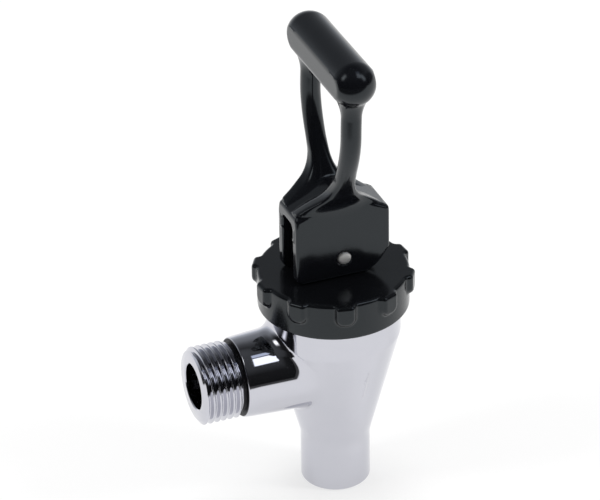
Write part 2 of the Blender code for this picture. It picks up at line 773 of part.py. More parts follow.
def arms(cutters):
    """Both arms as one tool of two bodies."""
    data = bpy.data.meshes.new("handle_arms")
    bm = bmesh.new()
    for side in (-1.0, 1.0):
        lofted(bm, arm_rings(side))
    bmesh.ops.recalc_face_normals(bm, faces=bm.faces)
    bm.to_mesh(data)
    bm.free()
    tool = put("handle_arms", data, cutters)
    tool.location = (PIN_X, 0.0, PIN_Z)
    return tool


def grip_bar(cutters):
    """The round grip with ball ends and two shallow side flats."""
    radius = BAR_DIAMETER / 2.0
    half = BAR_SPAN / 2.0
    profile = [(radius * math.sin(a), half + radius * math.cos(a))
               for a in [math.pi / 2.0 * k / 6 for k in range(7)]]
    profile += [(r, -h) for r, h in reversed(profile)]
    bar = turned("grip_bar", cutters, profile, GRIP_SIDES)
    bar.location = (PIN_X + HANDLE_SHIFT, 0.0, PIN_Z + BAR_HEIGHT)
    bar.rotation_euler = (math.pi / 2.0, 0.0, 0.0)
    flat = BAR_FLAT / 2.0
    outline = [(-flat, -radius - MM), (flat, -radius - MM), (flat, radius + MM), (-flat, radius + MM)]
    block = extruded("grip_flats", cutters, outline, half + radius + MM)
    block.location = bar.location
    cut(bar, block, "INTERSECT")
    return bar


def handle(parts, cutters):
    """The lever handle: one moulding with a slotted foot, two arms and a grip bar."""
    piece = extruded("handle", parts, cam_outline(), FOOT_WIDTH / 2.0, "black_moulded_plastic")
    piece.location = (PIN_X, 0.0, PIN_Z)
    edge = piece.modifiers.new("Edges", "BEVEL")
    edge.width = FOOT_EDGE
    edge.segments = 2
    edge.limit_method = "ANGLE"
    edge.angle_limit = math.radians(60.0)
    cut(piece, arms(cutters), "UNION")
    cut(piece, grip_bar(cutters), "UNION")
    cut(piece, slot_cutter(cutters))
    cut(piece, pin_cylinder("handle_hole_cutter", cutters, PIN_DIAMETER / 2.0 + PIN_FIT, FOOT_WIDTH))
    return piece


def slot_cutter(cutters):
    """The slot that straddles the stem's tongue, open below and at both ends."""
    half = SLOT_WIDTH / 2.0
    top = EAVE_HEIGHT - SLOT_ROOF
    low = -PIN_HEIGHT - 2.0 * MM
    outline = rounded([
        (-half, low, 0.0),
        (half, low, 0.0),
        (half, top, SLOT_CORNER),
        (-half, top, SLOT_CORNER),
    ], steps=3, closed=True)
    tool = extruded("handle_slot_cutter", cutters, outline, FOOT_FRONT + FOOT_BACK)
    tool.location = (PIN_X, 0.0, PIN_Z)
    tool.rotation_euler = (0.0, 0.0, math.pi / 2.0)
    return tool


def handle_pin(parts):
    """The steel pin through both cheeks and the stem, with domed ends."""
    radius = PIN_DIAMETER / 2.0
    half = FOOT_WIDTH / 2.0 + PIN_PROUD
    profile = rounded([
        (0.0, half, 0.0),
        (radius, half, 0.8 * MM),
        (radius, -half, 0.8 * MM),
        (0.0, -half, 0.0),
    ], steps=2)
    pin = turned("handle_pin", parts, profile, PIN_SIDES, "stainless_steel")
    pin.location = (PIN_X, 0.0, PIN_Z)
    pin.rotation_euler = (math.pi / 2.0, 0.0, 0.0)
    return pin


def build():
    clear_scene()
    parts = new_collection("drain_tap")
    cutters = new_collection("cutters")
    made = [
        body_casting(parts, cutters),
        seat_cup(parts),
        friction_ring(parts),
        stem(parts, cutters),
        bonnet(parts, cutters),
        handle(parts, cutters),
        handle_pin(parts),
    ]
    return_spring(parts)
    for piece in made:
        soften(piece)


build()
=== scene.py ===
# %% [markdown]
# # A self-closing drain tap
# The tap has a chromed brass body with a threaded side inlet, a black bonnet that screws onto it,
# and a black lever with a loop for two fingers. Tilting the lever lifts a sprung stem off the
# valve seat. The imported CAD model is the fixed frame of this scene. Each piece is made here again
# with the soft edges, fillets and thread that the real one has, and stands where its node stands.

# %% Load the frame
import math

import bpy
import numpy as np
from mathutils import Matrix, Vector


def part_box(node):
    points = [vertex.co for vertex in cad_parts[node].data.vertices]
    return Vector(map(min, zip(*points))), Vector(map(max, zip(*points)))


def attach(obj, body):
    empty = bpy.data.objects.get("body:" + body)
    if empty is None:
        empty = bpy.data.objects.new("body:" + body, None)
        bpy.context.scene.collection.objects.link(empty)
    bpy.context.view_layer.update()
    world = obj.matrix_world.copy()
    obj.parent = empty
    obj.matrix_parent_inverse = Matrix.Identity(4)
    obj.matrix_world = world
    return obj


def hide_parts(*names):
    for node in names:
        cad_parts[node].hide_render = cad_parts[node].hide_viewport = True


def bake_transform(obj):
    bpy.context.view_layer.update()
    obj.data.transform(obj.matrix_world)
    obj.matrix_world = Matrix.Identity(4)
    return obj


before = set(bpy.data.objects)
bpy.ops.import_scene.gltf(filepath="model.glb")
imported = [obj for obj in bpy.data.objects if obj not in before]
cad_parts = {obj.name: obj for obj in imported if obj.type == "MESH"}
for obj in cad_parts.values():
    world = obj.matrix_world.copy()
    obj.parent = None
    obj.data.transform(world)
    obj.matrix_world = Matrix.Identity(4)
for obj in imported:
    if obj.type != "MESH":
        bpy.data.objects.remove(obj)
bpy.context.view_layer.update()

for node_name in sorted(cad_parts):
    low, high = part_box(node_name)
    size_mm = [round(1000 * (b - a), 1) for a, b in zip(low, high)]
    print(node_name, "is", size_mm, "mm")

# %% [markdown]
# ## Sizes shared by several pieces
# All forms below are worked out in millimetres, because that is how a toolmaker reads a drawing,
# and each mesh is scaled to metres when it is made. The origin is on the inlet's axis in the plane
# of the shoulder behind the thread. The tap's own axis stands upright 28.3 mm from there.

# %% Levels and places
MM = 0.001
TAP_X = 28.3
BODY_TOP = 21.7
SPOUT_END = -37.6
GROOVE_END = -0.9
BONNET_BOTTOM = 17.2
BONNET_CEILING = 25.0
BONNET_TOP = 27.6
PIN_X = 28.9
PIN_Z = 33.5
print("the pin stands", round(PIN_Z - BONNET_TOP, 2), "mm above the bonnet")

# %% [markdown]
# ## Colour
# Colours are written as the sRGB hex values that a picture shows. Blender's shaders want linear
# light, so one function turns the one into the other.


# %% From hex to linear
def linear(hex_colour):
    """An sRGB hex value as linear red, green, blue and alpha."""
    channels = [int(hex_colour[i:i + 2], 16) / 255.0 for i in (1, 3, 5)]
    bent = [c / 12.92 if c <= 0.04045 else ((c + 0.055) / 1.055) ** 2.4 for c in channels]
    return (*bent, 1.0)


print("mid grey #808080 is", round(linear("#808080")[0], 3), "in linear light")

# %% [markdown]
# ## One helper for all shader nodes
# A material is a small network. One function adds a node with its properties and fills its inputs
# with values, or with links from other nodes' outputs. A finish starts with an empty material and
# the place on the object, which every pattern follows.


# %% Add a node
def fill(tree, node, inputs):
    """Sets inputs to values, or links them where the value is another node's output."""
    for socket, value in inputs.items():
        if isinstance(value, bpy.types.NodeSocket):
            tree.links.new(value, node.inputs[socket])
        else:
            node.inputs[socket].default_value = value


def add_node(tree, kind, inputs=None, **settings):
    node = tree.nodes.new(kind)
    for name, value in settings.items():
        setattr(node, name, value)
    fill(tree, node, inputs or {})
    return node


def start_finish(name):
    """A new material, its tree and Principled shader, and the place on the object."""
    material = bpy.data.materials.new(name)
    material.use_nodes = True
    tree = material.node_tree
    place = add_node(tree, "ShaderNodeTexCoord").outputs["Object"]
    return material, tree, tree.nodes["Principled BSDF"], place


# %% [markdown]
# ## Chrome plating on brass
# Bright chromium has almost no colour of its own: a little under six tenths of the light comes
# back, with a faint cold tint. The body was ground and buffed before plating, so the mirror is not
# quite flat, and low waves a few millimetres long remain. A noise 5 mm wide drives a very weak bump
# for them, and one 9 mm wide varies the tint and the roughness as handling does. Plating current
# hardly reaches the bottom of a narrow recess, so the groove behind the thread is rougher; its dark
# grey colour is painted shade, the shade that falls in that groove.

# %% Chrome
def chrome_finish():
    material, tree, shader, place = start_finish("chrome_plate_on_cast_brass")
    waves = add_node(tree, "ShaderNodeTexNoise", {
        "Vector": place, "Scale": 1.0 / (5.0 * MM), "Detail": 1.0, "Roughness": 0.4})
    haze = add_node(tree, "ShaderNodeTexNoise", {
        "Vector": place, "Scale": 1.0 / (9.0 * MM), "Detail": 4.0, "Roughness": 0.6})
    rough = add_node(tree, "ShaderNodeMapRange", {
        "Value": haze.outputs["Fac"], "From Min": 0.35, "From Max": 0.7,
        "To Min": 0.035, "To Max": 0.075})
    tint = add_node(tree, "ShaderNodeMix", {
        "Factor": haze.outputs["Fac"], 6: linear("#CDCDD4"), 7: linear("#C7C8D0")},
        data_type="RGBA")
    bump = add_node(tree, "ShaderNodeBump", {
        "Height": waves.outputs["Fac"], "Strength": 0.25, "Distance": 0.008 * MM})
    parts = add_node(tree, "ShaderNodeSeparateXYZ", {0: place})
    behind_thread = add_node(tree, "ShaderNodeMapRange", {
        "Value": parts.outputs["X"],
        "From Min": (GROOVE_END - 0.35) * MM, "From Max": (GROOVE_END - 0.05) * MM})
    at_shoulder = add_node(tree, "ShaderNodeMapRange", {
        "Value": parts.outputs["X"], "From Min": 0.02 * MM, "From Max": 0.12 * MM,
        "To Min": 1.0, "To Max": 0.0})
    # Painted shade: this mask covers the groove behind the thread up to the shoulder, where shade
    # falls
    groove_shade_mask = add_node(tree, "ShaderNodeMath", {
        0: behind_thread.outputs["Result"], 1: at_shoulder.outputs["Result"]},
        operation="MULTIPLY")
    # Painted shade: the groove is coloured dark grey in place of the chrome tint, and made rougher
    groove_painted_shade = add_node(tree, "ShaderNodeMix", {
        "Factor": groove_shade_mask.outputs[0], 6: tint.outputs[2], 7: linear("#3A3A3D")}, data_type="RGBA")
    dull_rough = add_node(tree, "ShaderNodeMix", {
        "Factor": groove_shade_mask.outputs[0], 2: rough.outputs["Result"], 3: 0.5}, data_type="FLOAT")
    fill(tree, shader, {
        "Base Color": groove_painted_shade.outputs[2], "Roughness": dull_rough.outputs[0],
        "Normal": bump.outputs["Normal"], "Metallic": 1.0})
    return material


CHROME = chrome_finish()
print("made", CHROME.name)

# %% [markdown]
# ## Finishes with a mottle and a grain
# No moulded or drawn surface has just one colour and one gloss. In the finishes below, the tint and
# the roughness follow one noise, and a weak bump follows another. Each noise is given as its width
# in millimetres, its detail and its roughness, and the bump as its strength and its height in
# millimetres.

# %% Mottled finish
def mottled_finish(name, colours, mottle, grain, bump, roughness, spread, others):
    """A material with two tints; spread is how much the roughness grows with the mottle."""
    material, tree, shader, place = start_finish(name)
    mottle, grain = [
        add_node(tree, "ShaderNodeTexNoise", {
            "Vector": place, "Scale": 1.0 / (width * MM), "Detail": detail, "Roughness": rough})
        for width, detail, rough in (mottle, grain)]
    tint = add_node(tree, "ShaderNodeMix", {
        "Factor": mottle.outputs["Fac"], 6: linear(colours[0]), 7: linear(colours[1])},
        data_type="RGBA")
    if spread:
        roughness = add_node(tree, "ShaderNodeMapRange", {
            "Value": mottle.outputs["Fac"], "From Min": 0.3, "From Max": 0.7,
            "To Min": roughness, "To Max": roughness + spread}).outputs["Result"]
    relief = add_node(tree, "ShaderNodeBump", {
        "Height": grain.outputs["Fac"], "Strength": bump[0], "Distance": bump[1] * MM})
    fill(tree, shader, {
        "Base Color": tint.outputs[2], "Roughness": roughness,
        "Normal": relief.outputs["Normal"], **others})
    print("made", name)
    return material


# %% [markdown]
# ## Glossy black moulding
# The lever is injection moulded in black acetal and the bonnet in black nylon, both in polished
# tools. The plastic itself is nearly black, so what the eye reads is the clear reflection of the
# room on top. Moulded faces shrink a little as they cool, which leaves a soft orange peel about
# 2 mm wide. A fainter cloud, 7 mm wide, is where hands have dulled the gloss.

# %% Black plastic
HANDLED = (7.0, 3.0, 0.55)
ORANGE_PEEL = (2.2, 2.0, 0.5)
GLOSS = {"IOR": 1.48, "Specular Tint": linear("#EEF9FF")}
LEVER_BLACK = mottled_finish("black_acetal_moulded", ("#0B0C0F", "#101115"),
                             HANDLED, ORANGE_PEEL, (0.3, 0.007), 0.12, 0.06, GLOSS)
BONNET_BLACK = mottled_finish("black_nylon_moulded", ("#0A0B0D", "#0F1013"),
                              HANDLED, ORANGE_PEEL, (0.3, 0.007), 0.14, 0.06, GLOSS)

# %% [markdown]
# ## Steel, and the softer plastics inside
# The pin and the spring are drawn stainless steel, which has a fine grain and is rougher than
# plating. The hammer that set the pin left its ends duller than the wire. The stem is moulded
# acetal, the cup is milky food silicone and the ring under the bonnet is natural nylon sheet.

# %% Steel
METAL = {"Metallic": 1.0}
HAMMERED = (0.5, 3.0, 0.6)
DRAWN = (0.25, 3.0, 0.6)
PIN_STEEL = mottled_finish("stainless_steel_peened", ("#D6D5D3", "#E6E5E3"),
                           HAMMERED, HAMMERED, (0.4, 0.01), 0.42, 0.16, METAL)
SPRING_STEEL = mottled_finish("stainless_steel_drawn_wire", ("#B9B8B6", "#D2D1CF"),
                              DRAWN, DRAWN, (0.4, 0.01), 0.24, 0.16, METAL)

# %% Inner plastics
SATIN = (1.5, 3.0, 0.5)
STEM_GREY = mottled_finish("grey_acetal_moulded", ("#3A3A3C", "#434346"),
                           SATIN, SATIN, (0.3, 0.02), 0.35, 0.0, {"IOR": 1.48})
SILICONE = mottled_finish("translucent_silicone_moulded", ("#D9D9D3", "#CFCFC8"),
                          SATIN, SATIN, (0.3, 0.02), 0.45, 0.0, {"IOR": 1.41})
RING_NYLON = mottled_finish("natural_nylon_stamped", ("#DDD9CB", "#D3CEBE"),
                            SATIN, SATIN, (0.3, 0.02), 0.4, 0.0, {"IOR": 1.53})

# %% [markdown]
# ## Forms as distances
# A moulding or a casting has no sharp inner corners: every rib and boss runs into its wall with a
# fillet. Bevels and subdivision can do that, but where a round arm flares into a sloping roof, or
# a boss meets a cone, they need careful hand work. Here each piece is a formula that gives the
# distance from any point to its surface, negative inside. Two forms join with a fillet of a stated
# radius, and one form cuts another with a rounded edge. The formula is then turned into a mesh.

# %% Joining and cutting forms
def join(a, b, fillet):
    """The union of two forms, with a hollow fillet where they meet at about a right angle."""
    return np.maximum(fillet, np.minimum(a, b)) - np.hypot(
        np.maximum(fillet - a, 0.0), np.maximum(fillet - b, 0.0))


def common(a, b, edge):
    """What two forms share, with an outer edge of that radius where they meet."""
    return -join(-a, -b, edge)


def cut(a, tool, edge):
    """Form a without the tool."""
    return common(a, -tool, edge)


def slope_of(form, x, y, z, tiny=0.01):
    """The form's steepest direction at a point, as a unit vector."""
    dx = form(x + tiny, y, z) - form(x - tiny, y, z)
    dy = form(x, y + tiny, z) - form(x, y - tiny, z)
    dz = form(x, y, z + tiny) - form(x, y, z - tiny)
    size = np.maximum(np.sqrt(dx * dx + dy * dy + dz * dz), 1e-9)
    return dx / size, dy / size, dz / size


def join_round(form_a, form_b, fillet, x, y, z):
    """The union with a ball's fillet, true at any angle between the two surfaces."""
    a, b = form_a(x, y, z), form_b(x, y, z)
    slope_a, slope_b = slope_of(form_a, x, y, z), slope_of(form_b, x, y, z)
    lean = np.clip(sum(p * q for p, q in zip(slope_a, slope_b)), -0.999, 0.999)
    u, v = fillet - a, fillet - b
    squared = np.maximum(u * u + v * v - 2.0 * lean * u * v, 0.0) / (1.0 - lean * lean)
    ball = fillet - np.sqrt(squared)
    between = (u > 0.0) & (v > 0.0) & (u > lean * v) & (v > lean * u)
    return np.where(between, np.minimum(ball, np.minimum(a, b)), np.minimum(a, b))


print("a fillet of 2 mm fills a right corner by", round(-float(join(0.0, 0.0, 2.0)), 2), "mm")

# %% [markdown]
# ## From a form to a mesh
# Surface nets is a simple way to mesh a form. Space is divided into small cubes, each cube that
# the surface crosses gets one point, and each crossed cube edge gets one four-sided face. Then
# every point is moved onto the surface itself along the form's gradient, so a 0.4 mm grid still
# gives a surface that is true to a few thousandths. Where an edge is tighter than the grid, as at
# the body's shoulder and spout, the grid's lines stand closer together.


# %% Surface nets
def gradient(form, points):
    """How fast a form grows along x, y and z at each point."""
    tiny = 0.001
    parts = []
    for k in range(3):
        shift = np.zeros(3)
        shift[k] = tiny
        ahead = form(*(points + shift).T)
        behind = form(*(points - shift).T)
        parts.append((ahead - behind) / (2.0 * tiny))
    return np.stack(parts, axis=1)


def grid_line(low, high, step, fine=()):
    """Positions from low to high. Each (start, end, step) in fine has closer lines."""
    at = [low]
    while at[-1] < high:
        size = step
        for start, end, small in fine:
            if start - step < at[-1] < end:
                size = min(size, small)
        at.append(at[-1] + size)
    return np.array(at)


def net(form, lines):
    """Points and four-sided faces on a form's surface, on a grid of three sets of lines, in mm."""
    count = [len(line) for line in lines]
    step = max(float(np.diff(line).max()) for line in lines)
    field = np.broadcast_to(form(*np.ix_(*lines)), count)
    inside = field < 0.0
    cubes = tuple(n - 1 for n in count)
    total = np.zeros(cubes + (3,))
    crossings = np.zeros(cubes)
    grid = np.meshgrid(*lines, indexing="ij")
    for corner in [(i, j, k) for i in (0, 1) for j in (0, 1) for k in (0, 1)]:
        for axis in range(3):
            if corner[axis]:
                continue
            other = tuple(1 if k == axis else corner[k] for k in range(3))
            here = tuple(slice(c, c + n) for c, n in zip(corner, cubes))
            there = tuple(slice(c, c + n) for c, n in zip(other, cubes))
            crossed = inside[here] != inside[there]
            rise = np.where(crossed, field[here] - field[there], 1.0)
            share = np.where(crossed, field[here] / rise, 0.0)
            for k in range(3):
                value = grid[k][here] + share * (grid[k][there] - grid[k][here])
                total[..., k] += np.where(crossed, value, 0.0)
            crossings += crossed
    used = crossings > 0
    number = np.full(cubes, -1)
    number[used] = np.arange(int(used.sum()))
    points = total[used] / crossings[used][:, None]
    faces = []
    for axis in range(3):
        u, v = (axis + 1) % 3, (axis + 2) % 3
        first = tuple(slice(0, -1) if k == axis else slice(None) for k in range(3))
        second = tuple(slice(1, None) if k == axis else slice(None) for k in range(3))
        at = np.argwhere(inside[first] != inside[second])
        at = at[(at[:, u] > 0) & (at[:, u] < count[u] - 1)]
        at = at[(at[:, v] > 0) & (at[:, v] < count[v] - 1)]
        outward = inside[first][tuple(at.T)]
        corners = []
        for du, dv in ((-1, -1), (0, -1), (0, 0), (-1, 0)):
            spot = at.copy()
            spot[:, u] += du
            spot[:, v] += dv
            corners.append(number[tuple(spot.T)])
        quads = np.stack(corners, axis=1)
        quads[~outward] = quads[~outward][:, ::-1]
        faces.append(quads)
    for _ in range(4):
        slope = gradient(form, points)
        steepness = np.maximum((slope * slope).sum(axis=1), 0.01)
        move = -form(*points.T)[:, None] * slope / steepness[:, None]
        length = np.linalg.norm(move, axis=1, keepdims=True)
        points = points + move * np.minimum(1.0, 0.5 * step / np.maximum(length, 1e-9))
    return points, np.concatenate(faces)


# %% [markdown]
# ## Making the object
# Blender shades a mesh by its corner normals. The form knows the true direction of its surface at
# each point, so that direction is stored wherever it agrees with the mesh. Reflections in the
# glossy black and in the chrome then run as smoothly as on the real thing.


# %% Mesh objects
def new_piece(name, points_mm, faces, material):
    """An object with one material, from points in millimetres."""
    data = bpy.data.meshes.new(name)
    faces = faces.tolist() if isinstance(faces, np.ndarray) else faces
    data.from_pydata((np.asarray(points_mm) * MM).tolist(), [], faces)
    data.update()
    data.materials.append(material)
    piece = bpy.data.objects.new(name, data)
    bpy.context.scene.collection.objects.link(piece)
    return piece


def shade(piece, angle=40.0, form=None):
    """Smooth shading with sharp edges kept, and the form's own normals where one is given."""
    data = piece.data
    data.shade_smooth()
    data.set_sharp_from_angle(angle=math.radians(angle))
    if form is None:
        return
    points = np.empty(len(data.vertices) * 3)
    data.vertices.foreach_get("co", points)
    points = points.reshape(-1, 3) / MM
    slope = gradient(form, points)
    slope /= np.maximum(np.linalg.norm(slope, axis=1, keepdims=True), 1e-6)
    on_form = np.abs(form(*points.T)) < 0.01
    corner = np.empty(len(data.loops), dtype=np.int32)
    data.loops.foreach_get("vertex_index", corner)
    normals = np.empty(len(data.loops) * 3)
    data.corner_normals.foreach_get("vector", normals)
    normals = normals.reshape(-1, 3)
    agrees = on_form[corner] & ((normals * slope[corner]).sum(axis=1) > 0.85)
    normals[agrees] = slope[corner][agrees]
    data.normals_split_custom_set(normals.tolist())


def grid_round(node, step, fine_x=(), fine_y=(), fine_z=()):
    """Grid lines round a CAD node, a little larger than it is."""
    low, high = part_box(node)
    return [grid_line(a / MM - 1.0, b / MM + 1.0, step, fine)
            for a, b, fine in zip(low, high, (fine_x, fine_y, fine_z))]


def triangles_in(piece):
    return sum(len(face.vertices) - 2 for face in piece.data.polygons)


def moulded(name, form, lines, material):
    """A piece with the shape of a form."""
    piece = new_piece(name, *net(form, lines), material)
    shade(piece, form=form)
    print(name, "has", triangles_in(piece), "triangles")
    return piece


# %% [markdown]
# ## Flat outlines
# The lever's foot is a thick plate with a special side view, so its form starts from a flat
# outline: the distance to the nearest edge of a polygon, negative inside. Corners are true arcs.

# %% Arcs at corners and distance to an outline
def rounded_outline(corners, steps=16):
    """A closed list of (x, z, radius) corners as a list of points."""
    points = []
    for i, (x, z, radius) in enumerate(corners):
        here = Vector((x, z))
        if radius <= 0.0:
            points.append((x, z))
            continue
        back = Vector(corners[i - 1][:2]) - here
        ahead = Vector(corners[(i + 1) % len(corners)][:2]) - here
        half = back.angle(ahead) / 2.0
        reach = min(radius / math.tan(half), 0.45 * back.length, 0.45 * ahead.length)
        middle = (back.normalized() + ahead.normalized()).normalized() * (reach / math.cos(half))
        start = back.normalized() * reach - middle
        end = ahead.normalized() * reach - middle
        sweep = (math.pi - 2.0 * half) * (1.0 if start.cross(end) > 0.0 else -1.0)
        for step in range(steps + 1):
            spoke = Matrix.Rotation(sweep * step / steps, 2) @ start
            points.append(tuple(here + middle + spoke))
    return points


def outline_distance(x, z, outline):
    """Signed distance from (x, z) to a closed polygon."""
    best = np.full(np.broadcast(x, z).shape, 1e9)
    side = np.ones(best.shape)
    for (ax, az), (bx, bz) in zip(outline, outline[1:] + outline[:1]):
        ex, ez = bx - ax, bz - az
        wx, wz = x - ax, z - az
        along = np.clip((wx * ex + wz * ez) / max(ex * ex + ez * ez, 1e-12), 0.0, 1.0)
        best = np.minimum(best, (wx - ex * along) ** 2 + (wz - ez * along) ** 2)
        over = (z >= az) & (z < bz) & (ex * wz < ez * wx)
        under = (z < az) & (z >= bz) & (ex * wz > ez * wx)
        side = np.where(over | under, -side, side)
    return side * np.sqrt(best)


# %% [markdown]
# ## The lever's cam foot
# The foot works as a cam. Its front lower corner is an involute of a circle round the pin, so when
# the lever tilts, the pin rises by the same amount for every degree: 4.4 mm over 55 degrees. The
# slanted flat ahead of it comes to rest on the bonnet at the end of the stroke. The top is a
# gabled roof with a soft ridge, and its back edge sits a millimetre higher than its front one.

# %% Side view of the foot
PIN_HEIGHT = PIN_Z - BONNET_TOP
TILT_LIMIT = math.radians(55.0)
LIFT = 4.4
CAM_GAP = 0.1
FOOT_GAP = 0.3
FOOT_HALF = 6.47
FOOT_FRONT, FOOT_BACK = 12.9, 13.3
FOOT_REACH = (FOOT_FRONT + FOOT_BACK) / 2.0
EAVE = 12.9
BACK_EAVE = 13.9
ROOF = math.tan(math.radians(28.0))


def foot_outline():
    """The side view, with each corner as (x, z, radius) from the pin."""
    floor = -(PIN_HEIGHT - FOOT_GAP)
    rate = LIFT / TILT_LIMIT
    curve = []
    for step in range(33):
        tilt = TILT_LIMIT * step / 32
        reach = PIN_HEIGHT - CAM_GAP + rate * tilt
        curve.append((reach * math.sin(tilt) + rate * math.cos(tilt),
                      rate * math.sin(tilt) - reach * math.cos(tilt)))
    curve = [p for p in curve if p[1] > floor]
    curve.insert(0, (curve[0][0] - 0.3, floor))
    tip = FOOT_FRONT - curve[-1][0]
    ridge = EAVE + FOOT_REACH * ROOF
    corners = [(-FOOT_BACK, floor, 2.2)]
    corners += [(x, z, 0.0) for x, z in curve]
    corners += [
        (FOOT_FRONT, curve[-1][1] + tip * math.tan(TILT_LIMIT), 1.0),
        (FOOT_FRONT, EAVE - 0.3, 1.0),
        ((FOOT_FRONT - FOOT_BACK) / 2.0, ridge, 4.0),
        (-FOOT_BACK, BACK_EAVE, 1.2),
    ]
    return rounded_outline(corners)


FOOT = foot_outline()
print("the foot's side view has", len(FOOT), "points")

# %% [markdown]
# ## The lever's arms and grip
# Each arm is a round bar that leans outwards as it climbs. Low down it spreads along the roof of
# the foot as a wide trumpet: an arc, and below that a straight web. Its level section is an ellipse
# high up and a squarer oval at the roof, and its centre and half-widths change with height. The
# section is read a little higher or lower to either side, so that the web leans with the roof. The
# grip is a bar with ball ends, and a flat along each long side.

# %% Sizes of the arms and the grip
BAR_Z = 55.9
BAR_HALF = 14.5
BAR_RADIUS = 6.05
BAR_FLAT = 5.3
ARM_Y = 13.9
ARM_RADIUS = 2.68
ARM_UPRIGHT = EAVE + 0.66 * (BAR_Z - EAVE)
ARM_BOW = 0.3
FLARE = 9.5
WEB_ANGLE = math.radians(35.0)
WEB = math.tan(WEB_ANGLE)
WEB_INSET = 1.1
WEB_LEAN_ALONG, WEB_LEAN_OUT = 0.07, 0.2
SQUARENESS = 1.6
LEVER_SHIFT = -0.5
print("the arms stand upright from", round(ARM_UPRIGHT, 1), "mm above the pin")


def smooth(value, start, end):
    """Rises softly from 0 at start to 1 at end."""
    share = np.clip((value - start) / (end - start), 0.0, 1.0)
    return share * share * (3.0 - 2.0 * share)


# %% An arm's level section
def arm_section(z):
    """Distance from the middle and the two half-widths of an arm's level section."""
    ease = np.clip((z - EAVE) / (ARM_UPRIGHT - EAVE), 0.0, 1.0) ** 0.75
    share = ease * ease * (3.0 - 2.0 * ease)
    share = share * smooth(z, EAVE - 2.0, EAVE + 7.0)
    centre = FOOT_HALF / 2.0 + (ARM_Y - FOOT_HALF / 2.0) * share
    arc_spread = FLARE * (1.0 - math.sin(WEB_ANGLE))
    arc_drop = FLARE * math.cos(WEB_ANGLE)
    arc_end = EAVE + 0.2 + (FOOT_REACH - ARM_RADIUS - arc_spread) * WEB
    drop = np.clip(arc_end + arc_drop - z, 0.0, arc_drop)
    wide = ARM_RADIUS + FLARE - np.sqrt(FLARE * FLARE - drop * drop)
    wide = wide + np.maximum(arc_end - z, 0.0) / WEB
    wide = np.minimum(wide, FOOT_REACH - WEB_INSET)
    deep = ARM_RADIUS + (FOOT_HALF / 2.0 - ARM_RADIUS) * (1.0 - smooth(z, EAVE, EAVE + 9.0))
    buried = 2.2 * smooth(EAVE - 0.5 - z, 0.0, 4.0)
    return centre, wide, deep - buried


for level in (16.0, 25.0, 50.0):
    print("arm at", level, "mm:", [round(float(v), 2) for v in arm_section(np.array(level))])


# %% One arm
def arm_form(x, y, z, side):
    """The arm on one side of the lever, as a stack of rounded sections."""
    low_down = 1.0 - smooth(z, EAVE + 8.0, EAVE + 16.0)
    centre = arm_section(z)[0]
    outward = np.clip(side * y - centre, -3.0, 3.0)
    lean = WEB_LEAN_ALONG * np.clip(x, -12.0, 12.0) - WEB_LEAN_OUT * outward
    _, wide, deep = arm_section(z + low_down * lean)
    bow = ARM_BOW * smooth(z, EAVE, EAVE + 6.0) * (1.0 - smooth(z, 40.0, 52.0))
    u = np.maximum(np.abs((x - LEVER_SHIFT + bow) / wide), 1e-3)
    v = np.maximum(np.abs((side * y - centre) / deep), 1e-3)
    power = 2.0 + SQUARENESS * low_down
    outer = (u ** power + v ** power) ** (1.0 / power)
    steepness = np.hypot(u ** (power - 1.0) / wide, v ** (power - 1.0) / deep)
    shell = (outer - 1.0) / (steepness * outer ** (1.0 - power))
    return np.maximum(shell, np.maximum(EAVE - 5.0 - z, z - BAR_Z))


# %% The foot, the arms and the grip
def foot_form(x, y, z):
    """The foot's plate; its edge is rounder on the roof than below."""
    edge = 0.7 + 0.9 * smooth(z, EAVE - 2.0, EAVE + 1.5)
    plate = outline_distance(x, z, FOOT) + edge
    side = np.abs(y) - FOOT_HALF + edge
    beyond = np.hypot(np.maximum(plate, 0.0), np.maximum(side, 0.0))
    return beyond + np.minimum(np.maximum(plate, side), 0.0) - edge


def both_arms(x, y, z):
    """The two arms, with a fillet where they meet on the ridge."""
    return join(arm_form(x, y, z, 1.0), arm_form(x, y, z, -1.0), 2.6)


def grip_form(x, y, z):
    """A bar with ball ends and two flats."""
    along = np.maximum(np.abs(y) - BAR_HALF, 0.0)
    bar = np.sqrt((x - LEVER_SHIFT) ** 2 + (z - BAR_Z) ** 2 + along ** 2) - BAR_RADIUS
    return common(bar, np.abs(x - LEVER_SHIFT) - BAR_FLAT, 0.3)


# %% The whole lever
ROOF_FILLET = 1.6
GRIP_FILLET = 5.6
SLOT_HALF = 3.57
SLOT_TOP = EAVE - 1.6
PIN_HOLE = 2.0


def lever_form(x, y, z):
    """Foot, arms and grip in one, with the slot for the stem and the hole for the pin."""
    x = x - PIN_X
    z = z - PIN_Z
    low = join_round(foot_form, both_arms, ROOF_FILLET, x, y, z)
    high = join_round(grip_form, both_arms, GRIP_FILLET, x, y, z)
    lever = np.where(z < 30.0, low, high)
    slot = common(np.abs(y) - SLOT_HALF, z - SLOT_TOP, 1.8)
    lever = cut(lever, slot, 0.45)
    return cut(lever, np.hypot(x, z) - PIN_HOLE, 0.2)


LEVER = moulded("lever_handle", lever_form, grid_round("handle", 0.4), LEVER_BLACK)
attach(LEVER, "handle")
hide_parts("handle")

# %% [markdown]
# ## The bonnet
# A moulded cap with ten grip ribs. Seen from above it is a disc whose rim steps out at each rib.
# The ribs end in a rounded foot halfway down the side. One rib is written as a form and repeated by
# folding the angle round the axis, then the whole outline gets one rounded top edge.

# %% Bonnet
BONNET_RADIUS = 20.1
BONNET_BORE = 18.1
RIB_COUNT = 10
RIB_PHASE = math.radians(5.0)
RIB_HALF = 2.6
RIB_LENGTH = 5.9
RIB_PROUD = 1.4
RIB_FOOT = 2.3
GUIDE_RADIUS, GUIDE_FLAT = 4.25, 3.5


